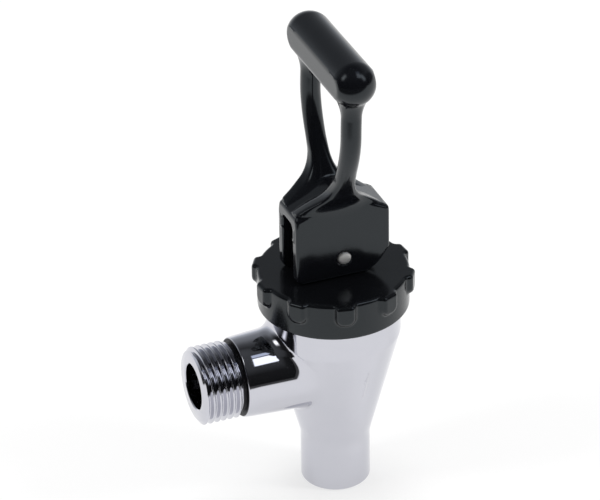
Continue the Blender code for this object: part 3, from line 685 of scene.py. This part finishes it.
def bonnet_form(x, y, z):
    """A ribbed cap, hollow below, with a guide for the stem that has two flats."""
    x = x - TAP_X
    radius = np.hypot(x, y)
    sector = math.tau / RIB_COUNT
    angle = np.mod(np.arctan2(y, x) - RIB_PHASE + sector / 2.0, sector) - sector / 2.0
    across = radius * np.sin(angle)
    out = radius * np.cos(angle)
    rib = common(np.abs(across) - RIB_HALF, BONNET_TOP - RIB_LENGTH - z, RIB_FOOT)
    rib = common(rib, out - BONNET_RADIUS - RIB_PROUD, 1.1)
    rib = np.maximum(rib, BONNET_RADIUS - 2.0 - out)
    cap = join(radius - BONNET_RADIUS, rib, 1.0)
    cap = common(cap, z - BONNET_TOP, 1.0)
    cap = common(cap, BONNET_BOTTOM - z, 0.4)
    hollow = common(radius - BONNET_BORE, z - BONNET_CEILING, 0.3)
    cap = cut(cap, hollow, 0.3)
    keyed = np.maximum(radius - GUIDE_RADIUS, np.abs(y) - GUIDE_FLAT)
    return cut(cap, keyed, 0.25)


BONNET = moulded("screw_bonnet", bonnet_form, grid_round("bonnet", 0.36), BONNET_BLACK)
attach(BONNET, "root")
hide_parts("bonnet")

# %% [markdown]
# ## Turned pieces
# The pin, the ring, the cup and the bores of the body are plain bodies of revolution, so a half
# profile swept round an axis is the most direct way to make them.

# %% Lathe
def lathe(name, profile, sides, material, centre, axis="z", closed=False):
    """Sweeps (radius, height) points round an axis through centre; ends on the axis are closed."""
    turn = math.tau * np.arange(sides) / sides
    points, faces = [], []
    rows = []
    for radius, height in profile:
        if radius < 1e-6:
            rows.append([len(points)])
            ring = [(0.0, 0.0, height)]
        else:
            rows.append(list(range(len(points), len(points) + sides)))
            ring = [(radius * math.cos(t), radius * math.sin(t), height) for t in turn]
        points += ring
    pairs = list(zip(rows, rows[1:])) + ([(rows[-1], rows[0])] if closed else [])
    for a, b in pairs:
        for k in range(sides):
            m = (k + 1) % sides
            loop = [a[k % len(a)], b[k % len(b)], b[m % len(b)], a[m % len(a)]]
            loop = [v for i, v in enumerate(loop) if v not in loop[:i]]
            faces.append(loop)
    points = np.array(points)
    if axis == "x":
        points = points[:, [2, 0, 1]]
    if axis == "y":
        points = points[:, [0, 2, 1]] * np.array([1.0, 1.0, -1.0])
    piece = new_piece(name, points + np.array(centre), faces, material)
    shade(piece, angle=35.0)
    print(name, "has", triangles_in(piece), "triangles")
    return piece


def arc(cx, cz, radius, start, end, steps=8):
    """Points on an arc, in degrees from the radius axis."""
    turn = np.radians(np.linspace(start, end, steps + 1))
    return [(cx + radius * math.cos(t), cz + radius * math.sin(t)) for t in turn]


# %% [markdown]
# ## The body casting
# Rim, cone and spout are one turned form. The boss for the inlet grows out of its side with a
# hollow fillet, which is larger at the sides. Only this outer skin needs the net. The threaded
# shank is welded to it, and the chamber, the valve seat and the bores are cut by turned tools, as a
# lathe and a drill would.

# %% Rim, cone and spout
RIM_RADIUS = 17.8
SPOUT_RADIUS = 9.35
CONE_TOP, CONE_BOTTOM = 9.1, -23.0
CONE_SLOPE = (RIM_RADIUS - SPOUT_RADIUS) / (CONE_TOP - CONE_BOTTOM)
RIM_BEND, SPOUT_BEND = 0.65, 1.8
RIM_EASE = 3.0
print("the cone leans", round(math.degrees(math.atan(CONE_SLOPE)), 1), "degrees")


def soft_bend(rise, reach):
    """Zero below a bend, one for one above it, and a parabola between."""
    parabola = (rise + reach) ** 2 / (4.0 * reach)
    return np.where(np.abs(rise) < reach, parabola, np.maximum(rise, 0.0))


def turned_skin(x, y, z):
    """The turned body; its lean eases in round each bend, so that the form stays smooth."""
    above_spout, above_cone = z - CONE_BOTTOM, z - CONE_TOP
    rise = soft_bend(above_spout, SPOUT_BEND) - soft_bend(above_cone, RIM_BEND)
    wall = SPOUT_RADIUS + CONE_SLOPE * rise
    on_cone = np.clip((above_spout + SPOUT_BEND) / (2.0 * SPOUT_BEND), 0.0, 1.0)
    on_rim = np.clip((above_cone + RIM_EASE) / (2.0 * RIM_EASE), 0.0, 1.0)
    lean = CONE_SLOPE * (on_cone - on_rim)
    side = (np.hypot(x - TAP_X, y) - wall) / np.hypot(1.0, lean)
    side = common(side, z - BODY_TOP, 0.6)
    return common(side, SPOUT_END - z, 1.0)


# %% Boss and fillet
BOSS_RADIUS = 10.9
BOSS_SWELL = 1.5
LIP_DROP, LIP_WIDTH = 0.18, 3.0
FILLET, FILLET_ON_TOP, FILLET_AT_SIDES = 2.9, 0.5, 3.3


def boss_skin(x, y, z):
    """A round boss that swells towards the body and drops a little at the shoulder's lip."""
    lip = LIP_DROP * np.maximum(1.0 - x / LIP_WIDTH, 0.0) ** 2
    boss = np.hypot(y, z) - BOSS_RADIUS - BOSS_SWELL * x / TAP_X + lip
    boss = common(boss, -x, 0.4)
    return np.maximum(boss, x - TAP_X)


def casting_skin(x, y, z):
    """Body and boss in one, with a fillet that changes on its way round the boss."""
    from_axis = np.maximum(np.hypot(y, z), 1.0)
    fillet = FILLET + FILLET_ON_TOP * z / from_axis + FILLET_AT_SIDES * (y / from_axis) ** 6
    return join_round(turned_skin, boss_skin, fillet, x, y, z)


# %% The casting's skin
body_lines = grid_round("body", 0.38, fine_x=[(-0.1, 0.6, 0.16)],
                        fine_z=[(SPOUT_END - 0.1, SPOUT_END + 1.2, 0.2)])
body_lines[0] = body_lines[0][body_lines[0] > -1.2]
CASTING = moulded("body_casting", casting_skin, body_lines, CHROME)

# %% [markdown]
# ## The pipe thread
# A half-inch parallel pipe thread has 14 turns to the inch, a 55 degree V and rounded crests. It is
# too fine for the casting's grid, so the threaded shank is a sheet of points bent round the axis:
# each point's radius follows from how far along the pitch it lies, which turns rings into a helix.

# %% The thread's profile
PITCH = 25.4 / 14.0
CREST = 20.955 / 2.0
ROOT = CREST - 0.6403 * PITCH
FLAT_SHARE = 0.13
ROUNDING = 0.25
SHANK_END = -11.75
LEAD_DROP, LEAD_SLOPE = 1.25, 1.6
RUN_OUT_SLOPE = 1.5
GROOVE_RADIUS = 9.2
BORE_RADIUS = 6.2
print("the thread is", round(CREST - ROOT, 2), "mm deep, one turn every", round(PITCH, 3), "mm")


def thread_radius(x, turn):
    """Outer radius of the shank at x, at that share of a turn round the axis."""
    phase = np.mod(x / PITCH + turn + 0.5, 1.0)
    ramp = np.abs(2.0 * phase - 1.0)
    wave = np.clip((ramp - FLAT_SHARE) / (1.0 - 2.0 * FLAT_SHARE), 0.0, 1.0)
    wave = (1.0 - ROUNDING) * wave + ROUNDING * wave * wave * (3.0 - 2.0 * wave)
    radius = ROOT + (CREST - ROOT) * wave
    lead_in = CREST - LEAD_DROP + LEAD_SLOPE * (x - SHANK_END)
    run_out = GROOVE_RADIUS + RUN_OUT_SLOPE * (GROOVE_END - x)
    threaded = np.minimum(radius, np.minimum(lead_in, run_out))
    return np.where(x > GROOVE_END, GROOVE_RADIUS, threaded)


# %% Threaded shank
def tube_faces(rings, sides):
    """Four-sided faces between rings of points, and a cap on each end."""
    faces = []
    for i in range(rings - 1):
        for k in range(sides):
            m = (k + 1) % sides
            faces.append((i * sides + k, i * sides + m, (i + 1) * sides + m, (i + 1) * sides + k))
    faces.append(tuple(reversed(range(sides))))
    faces.append(tuple(range((rings - 1) * sides, rings * sides)))
    return faces


def shank_mesh(around=180, spacing=0.1):
    """Rings of points along the inlet, from inside the boss to the shank's end."""
    threaded = list(np.arange(GROOVE_END, SHANK_END, -spacing))
    stations = [3.0, 0.1] + threaded + [SHANK_END]
    turn = np.arange(around) / around
    points = []
    for x in stations:
        at = np.full(around, x)
        radius = thread_radius(at, turn)
        across, up = radius * np.sin(math.tau * turn), radius * np.cos(math.tau * turn)
        points.append(np.stack([at, across, up], axis=1))
    return np.concatenate(points), tube_faces(len(stations), around)


# %% Welding and boring
def work(piece, tool, operation):
    """Welds a tool to a piece or cuts it away, and throws the tool out."""
    step = piece.modifiers.new(operation.lower(), "BOOLEAN")
    step.operation = operation
    step.object = tool
    step.solver = "MANIFOLD"
    graph = bpy.context.evaluated_depsgraph_get()
    result = bpy.data.meshes.new_from_object(piece.evaluated_get(graph), depsgraph=graph)
    piece.modifiers.clear()
    piece.data = result
    bpy.data.objects.remove(tool)


work(CASTING, new_piece("inlet_shank", *shank_mesh(), CHROME), "UNION")

# %% Chamber, valve seat and bores
CHAMBER_RADIUS, SEAT_RADIUS, SPOUT_BORE = 14.6, 5.8, 7.5
OVERRUN = 1.0
CHAMBER = [
    (0.0, BODY_TOP + OVERRUN), (15.6, BODY_TOP + OVERRUN), (14.9, BODY_TOP + 0.05),
    (CHAMBER_RADIUS, BODY_TOP - 0.4), (CHAMBER_RADIUS, CONE_TOP),
    (8.9, -12.6), (8.2, -13.7), (7.2, -14.35), (5.9, -14.4),
    (SEAT_RADIUS, -14.5), (SEAT_RADIUS, -17.4),
    (SPOUT_BORE, -18.4), (SPOUT_BORE, SPOUT_END + 0.45), (7.62, SPOUT_END + 0.15),
    (7.95, SPOUT_END - 0.02), (7.95, SPOUT_END - OVERRUN), (0.0, SPOUT_END - OVERRUN),
]
work(CASTING, lathe("chamber_tool", CHAMBER, 128, CHROME, (TAP_X, 0.0, 0.0)), "DIFFERENCE")

BORE_DEPTH = 24.0
BORE_LEAD = 0.25
BORE = [
    (0.0, BORE_DEPTH), (BORE_RADIUS, BORE_DEPTH), (BORE_RADIUS, SHANK_END + BORE_LEAD),
    (BORE_RADIUS + BORE_LEAD, SHANK_END), (BORE_RADIUS + BORE_LEAD, SHANK_END - OVERRUN),
    (0.0, SHANK_END - OVERRUN),
]
work(CASTING, lathe("bore_tool", BORE, 96, CHROME, (0.0, 0.0, 0.0), axis="x"), "DIFFERENCE")

shade(CASTING, form=casting_skin)
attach(CASTING, "root")
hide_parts("body")
print("body_casting with its thread has", triangles_in(CASTING), "triangles")

# %% [markdown]
# ## The pin
# The lever's pin is a short steel rod, 3.7 mm thick. Both ends are set with a hammer, which leaves
# them nearly flat, with a round edge, just proud of the cheeks.

# %% Pin
PIN_RADIUS = 1.85
PIN_PROUD = 0.55
PIN_EDGE = 0.45


def pin_profile():
    """Half of the pin's outline, from the middle of one end to the middle of the other."""
    half = FOOT_HALF + PIN_PROUD
    crown = [(0.0, half), (0.8, half - 0.02), (1.2, half - 0.06)]
    upper = crown + arc(PIN_RADIUS - PIN_EDGE, half - 0.53, PIN_EDGE, 80, 0, 6)
    return upper + [(r, -h) for r, h in reversed(upper)]


PIN = lathe("lever_pin", pin_profile(), 48, PIN_STEEL, (PIN_X, 0.0, PIN_Z), axis="y")
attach(PIN, "handle")
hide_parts("handle_pin")

# %% [markdown]
# ## The stem
# The stem is moulded with two flats that stop it from turning in the bonnet, a collar that carries
# the spring, and a bulb that buttons into the cup. It is made as a form like the other mouldings.

# %% Stem
STEM_RADIUS, STEM_TOP = 4.0, 37.5
SHANK_RADIUS, SHANK_TOP, SHANK_FOOT = 3.2, 20.0, -2.0
BLADE_HALF, BLADE_FOOT = 3.25, 18.8
COLLAR_RADIUS, COLLAR_Z, COLLAR_HALF = 5.7, -1.4, 0.8
NECK_RADIUS = 2.3
BULB_RADIUS, BULB_Z, BULB_HALF = 3.8, -10.0, 2.2


def stem_form(x, y, z):
    """A rod with a flat-sided blade on top, and the shank, collar, neck and bulb below it."""
    x = x - TAP_X
    radius = np.hypot(x, y)
    rod = common(radius - STEM_RADIUS, z - STEM_TOP, 2.8)
    rod = np.maximum(rod, 14.8 - z)
    shank = common(radius - SHANK_RADIUS, z - SHANK_TOP, 0.0)
    shank = np.maximum(shank, SHANK_FOOT - z)
    rod = join(rod, shank, 0.8)
    blade = np.maximum(rod, np.abs(y) - BLADE_HALF)
    rod = np.where(z > BLADE_FOOT, blade, rod)
    collar = common(radius - COLLAR_RADIUS, np.abs(z - COLLAR_Z) - COLLAR_HALF, 0.25)
    neck = np.maximum(radius - NECK_RADIUS, np.maximum(z + 1.0, -12.0 - z))
    bulb = common(radius - BULB_RADIUS, np.abs(z - BULB_Z) - BULB_HALF, 1.2)
    stem = join(join(rod, collar, 0.3), join(neck, bulb, 0.4), 0.3)
    return cut(stem, np.hypot(x - (PIN_X - TAP_X), z - PIN_Z) - PIN_HOLE, 0.2)


STEM = moulded("valve_stem", stem_form, grid_round("stem", 0.34), STEM_GREY)
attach(STEM, "stem")
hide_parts("stem")

# %% [markdown]
# ## The spring
# A compression spring of 1.1 mm wire with closed end coils. A tube of rings is swept along the
# helix. It sits between the stem's collar and the bonnet, so in the tap it shortens when the stem
# rises; here it is made once, at rest, and does not follow the stem.

# %% Spring
WIRE_RADIUS, COIL_RADIUS = 0.55, 4.95
SPRING_LOW, SPRING_HIGH = 0.25, 24.15
TURNS = 8.0
CLOSED = 0.9
CLOSED_RISE = 2.05 * WIRE_RADIUS


def spring_mesh(sides=14, per_turn=28):
    """Rings of points along the wire. The first and last CLOSED turns lie wire on wire."""
    count = int(TURNS * per_turn)
    open_rise = SPRING_HIGH - SPRING_LOW - CLOSED_RISE * 2.0 * CLOSED
    centre = []
    for i in range(count + 1):
        turn = TURNS * i / count
        climb = min(max((turn - CLOSED / 2.0) / (TURNS - CLOSED), 0.0), 1.0)
        closing = CLOSED_RISE * (min(turn, CLOSED) + max(turn - TURNS + CLOSED, 0.0))
        height = SPRING_LOW + closing + open_rise * climb
        angle = math.tau * turn
        centre.append(Vector((
            COIL_RADIUS * math.cos(angle), COIL_RADIUS * math.sin(angle), height)))
    points = []
    for i, here in enumerate(centre):
        along = (centre[min(i + 1, count)] - centre[max(i - 1, 0)]).normalized()
        out = Vector((here.x, here.y, 0.0)).normalized()
        side = along.cross(out).normalized()
        out = side.cross(along).normalized()
        for k in range(sides):
            t = math.tau * k / sides
            spot = here + WIRE_RADIUS * (math.cos(t) * out + math.sin(t) * side)
            points.append((spot.x + TAP_X, spot.y, spot.z))
    return points, tube_faces(count + 1, sides)


COIL = new_piece("return_coil", *spring_mesh(), SPRING_STEEL)
shade(COIL, angle=50.0)
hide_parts("return_spring")
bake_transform(COIL)
print("return_coil has", triangles_in(COIL), "triangles")

# %% [markdown]
# ## The silicone cup
# One soft moulding. Its flange is clamped under the bonnet, two folds let its nose rise with the
# stem, and the nose closes the valve seat. The profile is turned, with round folds.

# %% Cup
FOLD_TOP, FOLD_FOOT = 20.5, 10.5
FOLD_PITCH, FOLD_SWELL = 5.0, 1.5
CUP_INNER, CUP_OUTER = 6.1, 7.4


def fold_line(radius):
    """The folded wall from its top to its foot, as (radius, height) points."""
    heights = np.linspace(FOLD_TOP, FOLD_FOOT, 41)
    wave = 1.0 - np.cos(math.tau * (FOLD_TOP - heights) / FOLD_PITCH)
    return list(zip((radius + FOLD_SWELL * 0.5 * wave).tolist(), heights.tolist()))


def cup_profile():
    """Up the inside from the pocket for the stem's bulb, round the flange, down to the nose."""
    line = [(0.0, -12.5), (3.1, -12.5)] + arc(3.1, -11.5, 1.0, -90, 0, 5)
    line += [(4.1, -8.0)] + arc(3.5, -8.0, 0.6, 0, 80, 4)
    line += [(2.6, -7.3), (2.6, -3.9), (3.1, -3.3), (5.7, -2.5)]
    line += [(CUP_INNER, -1.9)] + fold_line(CUP_INNER)[::-1]
    line += [(CUP_INNER, 23.3), (6.4, 23.6), (17.2, 23.6)] + arc(17.2, 23.4, 0.2, 90, 0, 3)
    line += [(17.4, 22.2), (17.2, 22.0), (7.7, 22.0), (CUP_OUTER, 21.7)]
    line += fold_line(CUP_OUTER)
    line += [(CUP_OUTER, -12.3)] + arc(6.7, -12.6, 0.7, 0, -60, 4)
    return line + [(6.3, -14.1), (0.0, -14.1)]


CUP = lathe("seat_cup_silicone", cup_profile(), 72, SILICONE, (TAP_X, 0.0, 0.0))
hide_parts("seat_cup")
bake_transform(CUP)

# %% Ring under the bonnet
RING_PROFILE = [
    (8.5, 24.0), (8.6, 23.9), (17.3, 23.9), (17.4, 24.0),
    (17.4, 24.6), (17.3, 24.7), (8.6, 24.7), (8.5, 24.6),
]
RING = lathe("slip_ring", RING_PROFILE, 96, RING_NYLON, (TAP_X, 0.0, 0.0), closed=True)
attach(RING, "root")
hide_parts("friction_ring")

# %% [markdown]
# ## Floor and room
# The tap stands on its spout on a white table that runs up into a white wall behind. Above and in
# front the studio is dark, and that dark is what draws the shapes in chrome and in black plastic.
# The lit paper ends towards the front, so its mirror image in the tap fades there. To the camera
# the paper is white all over, with the tap's shadow on it.

# %% Floor
PAPER_FRONT = (-0.6, -0.8, 0.0)
PAPER_FADES, PAPER_ENDS = 0.17, 0.27
PAPER_GLOW = 0.62


def floor_finish():
    """White paper, which glows for the camera and in mirrors, and is plain paper otherwise."""
    material, tree, shader, place = start_finish("white_table_paper")
    tree.nodes.remove(shader)
    out = next(n for n in tree.nodes if n.type == "OUTPUT_MATERIAL")
    paper = add_node(tree, "ShaderNodeBsdfDiffuse", {"Color": linear("#F4F4F4")})
    ahead = add_node(tree, "ShaderNodeVectorMath", {
        0: place, 1: PAPER_FRONT}, operation="DOT_PRODUCT")
    lit = add_node(tree, "ShaderNodeMapRange", {
        "Value": ahead.outputs["Value"], "From Min": PAPER_FADES, "From Max": PAPER_ENDS,
        "To Min": 1.0, "To Max": 0.05}, interpolation_type="SMOOTHSTEP")
    path = add_node(tree, "ShaderNodeLightPath")
    shown = add_node(tree, "ShaderNodeMix", {
        "Factor": path.outputs["Is Camera Ray"], 2: lit.outputs["Result"], 3: 1.0},
        data_type="FLOAT")
    glow = add_node(tree, "ShaderNodeMath", {
        0: shown.outputs[0], 1: PAPER_GLOW}, operation="MULTIPLY")
    seen = add_node(tree, "ShaderNodeEmission", {
        "Color": linear("#FFFFFF"), "Strength": glow.outputs[0]})
    dimmed = add_node(tree, "ShaderNodeBsdfDiffuse", {"Color": linear("#A8A8A8")})
    dark = add_node(tree, "ShaderNodeBsdfDiffuse", {"Color": linear("#202020")})
    top = add_node(tree, "ShaderNodeMixShader", {
        "Fac": shown.outputs[0], 1: dark.outputs[0], 2: dimmed.outputs[0]})
    both = add_node(tree, "ShaderNodeAddShader", {0: top.outputs[0], 1: seen.outputs[0]})
    glossy = add_node(tree, "ShaderNodeMath", {
        0: path.outputs["Is Camera Ray"], 1: path.outputs["Is Glossy Ray"]}, operation="MAXIMUM")
    direct = add_node(tree, "ShaderNodeMath", {
        0: glossy.outputs[0], 1: path.outputs["Is Transmission Ray"]}, operation="MAXIMUM")
    mix = add_node(tree, "ShaderNodeMixShader", {
        "Fac": direct.outputs[0], 1: paper.outputs[0], 2: both.outputs[0]})
    fill(tree, out, {"Surface": mix.outputs[0]})
    return material


bpy.ops.mesh.primitive_plane_add(size=6.0, location=(0.0, 0.0, SPOUT_END * MM))
FLOOR = bpy.context.object
FLOOR.name = "table_top"
FLOOR.data.materials.append(floor_finish())

# %% [markdown]
# ## The room in the chrome
# The room is painted into the world by direction only, so it stays put when the camera moves. Each
# light is a mask between limits, with soft borders. Two broad patches stand for the soft boxes, and
# two panes for a window overhead. A grey ramp by height gives the wall behind, another the dark
# front, and a darker stretch lies to the right.

# %% Masks and lights
def between(tree, value, low, high, soft):
    """1 between low and high, with soft borders, and 0 outside."""
    rise = add_node(tree, "ShaderNodeMapRange", {
        "Value": value, "From Min": low - soft, "From Max": low + soft},
        interpolation_type="SMOOTHSTEP")
    fall = add_node(tree, "ShaderNodeMapRange", {
        "Value": value, "From Min": high - soft, "From Max": high + soft,
        "To Min": 1.0, "To Max": 0.0}, interpolation_type="SMOOTHSTEP")
    both = add_node(tree, "ShaderNodeMath", {
        0: rise.outputs["Result"], 1: fall.outputs["Result"]}, operation="MULTIPLY")
    return both.outputs[0]


def shine(tree, across, along, ahead, colour, strength, below):
    """Adds light where two masks meet and ahead is above zero, to the light below it."""
    inside = add_node(tree, "ShaderNodeMath", {0: across, 1: along}, operation="MULTIPLY")
    this_side = add_node(tree, "ShaderNodeMath", {0: ahead, 1: 0.0}, operation="GREATER_THAN")
    share = add_node(tree, "ShaderNodeMath", {
        0: inside.outputs[0], 1: this_side.outputs[0]}, operation="MULTIPLY")
    bright = tuple(strength * c for c in linear(colour)[:3]) + (1.0,)
    light = add_node(tree, "ShaderNodeMix", {
        "Factor": share.outputs[0], 6: (0.0, 0.0, 0.0, 1.0), 7: bright}, data_type="RGBA")
    total = add_node(tree, "ShaderNodeMix", {
        "Factor": 1.0, 6: below, 7: light.outputs[2]}, data_type="RGBA", blend_type="ADD")
    return total.outputs[2]


# %% Window panes and soft patches
PANES = (
    ((0.165, 0.42), (-0.62, -0.31), "#F4F7FF", 1.8),
    ((0.165, 0.42), (-0.27, -0.14), "#D4DEF6", 0.9),
)
PATCHES = (
    ((-0.734, -0.069, 0.677), (0.11, 0.2), "#FFFFFF", 2.4),
    ((0.60, -0.52, 0.605), (0.11, 0.24), "#F4F8FF", 2.2),
)
PATCH_BORDER = 0.12


def pane(tree, direction, x_range, y_range, colour, strength, below):
    """Adds a window pane overhead, bounded in x and y."""
    parts = add_node(tree, "ShaderNodeSeparateXYZ", {0: direction})
    across = between(tree, parts.outputs["X"], *x_range, 0.012)
    along = between(tree, parts.outputs["Y"], *y_range, 0.01)
    return shine(tree, across, along, parts.outputs["Z"], colour, strength, below)


def patch(tree, direction, toward, half_sizes, colour, strength, below):
    """Adds a soft-edged rectangle of light, seen in one direction of the room."""
    toward = Vector(toward).normalized()
    wide = Vector((0.0, 0.0, 1.0)).cross(toward).normalized()
    reach = []
    for axis in (wide, toward.cross(wide), toward):
        reach.append(add_node(tree, "ShaderNodeVectorMath", {
            0: direction, 1: tuple(axis)}, operation="DOT_PRODUCT").outputs["Value"])
    across, along = [
        between(tree, value, -half, half, PATCH_BORDER) for value, half in zip(reach, half_sizes)]
    return shine(tree, across, along, reach[2], colour, strength, below)


# %% Room
WALL = ((0.0, 0.92), (0.17, 0.56), (0.42, 0.3), (0.64, 0.22), (0.82, 0.09), (0.93, 0.04),
        (1.0, 0.09))
FRONT = ((0.0, 0.010), (0.45, 0.014), (0.7, 0.05), (1.0, 0.07))
GREY_CAST = (0.93, 0.97, 1.03)
FRONT_WAY = (-0.361, -0.932, 0.0)
RIGHT_WAY = (0.98, -0.20, 0.0)
FILL_LIGHT = 0.55


def paint_room():
    world = bpy.data.worlds.new("studio")
    world.use_nodes = True
    bpy.context.scene.world = world
    tree = world.node_tree
    tree.nodes.clear()
    direction = add_node(tree, "ShaderNodeTexCoord").outputs["Generated"]
    height = add_node(tree, "ShaderNodeSeparateXYZ", {0: direction}).outputs["Z"]
    greys = []
    for stops in (WALL, FRONT):
        node = add_node(tree, "ShaderNodeValToRGB", {"Fac": height})
        while len(node.color_ramp.elements) < len(stops):
            node.color_ramp.elements.new(0.5)
        for element, (where, light) in zip(node.color_ramp.elements, stops):
            element.position = where
            element.color = tuple(c * light for c in GREY_CAST) + (1.0,)
        greys.append(node.outputs["Color"])
    ahead, rightward = [
        add_node(tree, "ShaderNodeVectorMath", {0: direction, 1: way}, operation="DOT_PRODUCT")
        for way in (FRONT_WAY, RIGHT_WAY)]
    front = add_node(tree, "ShaderNodeMapRange", {
        "Value": ahead.outputs["Value"], "From Min": -0.35, "From Max": 0.2},
        interpolation_type="SMOOTHSTEP")
    room = add_node(tree, "ShaderNodeMix", {
        "Factor": front.outputs["Result"], 6: greys[0], 7: greys[1]}, data_type="RGBA")
    right_side = add_node(tree, "ShaderNodeMapRange", {
        "Value": rightward.outputs["Value"], "From Min": 0.78, "From Max": 0.93,
        "To Min": 1.0, "To Max": 0.15}, interpolation_type="SMOOTHSTEP")
    light = add_node(tree, "ShaderNodeVectorMath", {
        0: room.outputs[2], "Scale": right_side.outputs["Result"]},
        operation="SCALE").outputs["Vector"]
    for values in PATCHES:
        light = patch(tree, direction, *values, light)
    for values in PANES:
        light = pane(tree, direction, *values, light)
    seen = add_node(tree, "ShaderNodeBackground", {"Color": light})
    white = add_node(tree, "ShaderNodeBackground", {"Color": linear("#FFFFFF")})
    softly = add_node(tree, "ShaderNodeBackground", {
        "Color": linear("#FFFFFF"), "Strength": FILL_LIGHT})
    path = add_node(tree, "ShaderNodeLightPath")
    mirror = add_node(tree, "ShaderNodeMath", {
        0: path.outputs["Is Glossy Ray"], 1: path.outputs["Is Transmission Ray"]},
        operation="MAXIMUM")
    soft = add_node(tree, "ShaderNodeMixShader", {
        "Fac": mirror.outputs[0], 1: softly.outputs[0], 2: seen.outputs[0]})
    final = add_node(tree, "ShaderNodeMixShader", {
        "Fac": path.outputs["Is Camera Ray"], 1: soft.outputs[0], 2: white.outputs[0]})
    add_node(tree, "ShaderNodeOutputWorld", {"Surface": final.outputs[0]})


paint_room()
for where, light in WALL:
    print("the wall is", light, "at", round(math.degrees(math.asin(where))), "degrees up")

# %% [markdown]
# ## Lamps
# Two soft boxes stand left and right, and a third hangs overhead. They give the soft light on matt
# surfaces and the shadow on the paper. Their mirror images are already in the painted room, so the
# lamps themselves stay out of reflections.

# %% Soft boxes
TAP_MIDDLE = Vector((28.0, 0.0, 30.0)) * MM


def soft_box(name, direction, distance, size, power):
    """A rectangular lamp that faces the tap."""
    lamp = bpy.data.lights.new(name, "AREA")
    lamp.shape = "RECTANGLE"
    lamp.size, lamp.size_y = size
    lamp.energy = power
    holder = bpy.data.objects.new(name, lamp)
    bpy.context.scene.collection.objects.link(holder)
    holder.location = TAP_MIDDLE + Vector(direction).normalized() * distance
    holder.rotation_euler = (holder.location - TAP_MIDDLE).to_track_quat("Z", "Y").to_euler()
    holder.visible_glossy = False
    print(name, "stands at", [round(v, 2) for v in holder.location], "m")


soft_box("box_left", (-0.742, 0.039, 0.669), 1.4, (0.3, 0.42), 5.0)
soft_box("box_right", (0.659, -0.412, 0.629), 1.4, (0.26, 0.4), 5.0)
soft_box("box_above", (0.10, 0.25, 0.96), 1.5, (0.5, 0.5), 6.0)

# %% [markdown]
# ## Camera
# The photograph was taken from about a metre away with a long lens, 21 degrees to the left of the
# tap's side and 31 degrees above it, and turned by one degree. The image is 600 wide and 500 high,
# and the lens is given in those pixels.

# %% Camera
AZIMUTH, ELEVATION, ROLL = math.radians(-21.2), math.radians(31.0), math.radians(-1.0)
TARGET = Vector((19.06, 0.0, 34.7)) * MM
DISTANCE = 1.0
IMAGE_WIDTH, LENS_PIXELS = 600.0, 3832.0
SENSOR = 36.0
flat = math.cos(ELEVATION)
back = Vector((math.sin(AZIMUTH) * flat, -math.cos(AZIMUTH) * flat, math.sin(ELEVATION)))
right = Vector((math.cos(AZIMUTH), math.sin(AZIMUTH), 0.0))
up = back.cross(right)
tilted_right = right * math.cos(ROLL) + up * math.sin(ROLL)
tilted_up = up * math.cos(ROLL) - right * math.sin(ROLL)
lens = bpy.data.cameras.new("camera")
lens.sensor_width = SENSOR
lens.lens = LENS_PIXELS / IMAGE_WIDTH * SENSOR
lens.clip_end = 20.0
camera = bpy.data.objects.new("camera", lens)
bpy.context.scene.collection.objects.link(camera)
turned = Matrix((tilted_right, tilted_up, back)).transposed().to_4x4()
camera.matrix_world = Matrix.Translation(TARGET + DISTANCE * back) @ turned
bpy.context.scene.camera = camera
bpy.context.scene.view_settings.view_transform = "Standard"
print("lens", round(lens.lens, 1), "mm at", [round(v, 3) for v in camera.location])
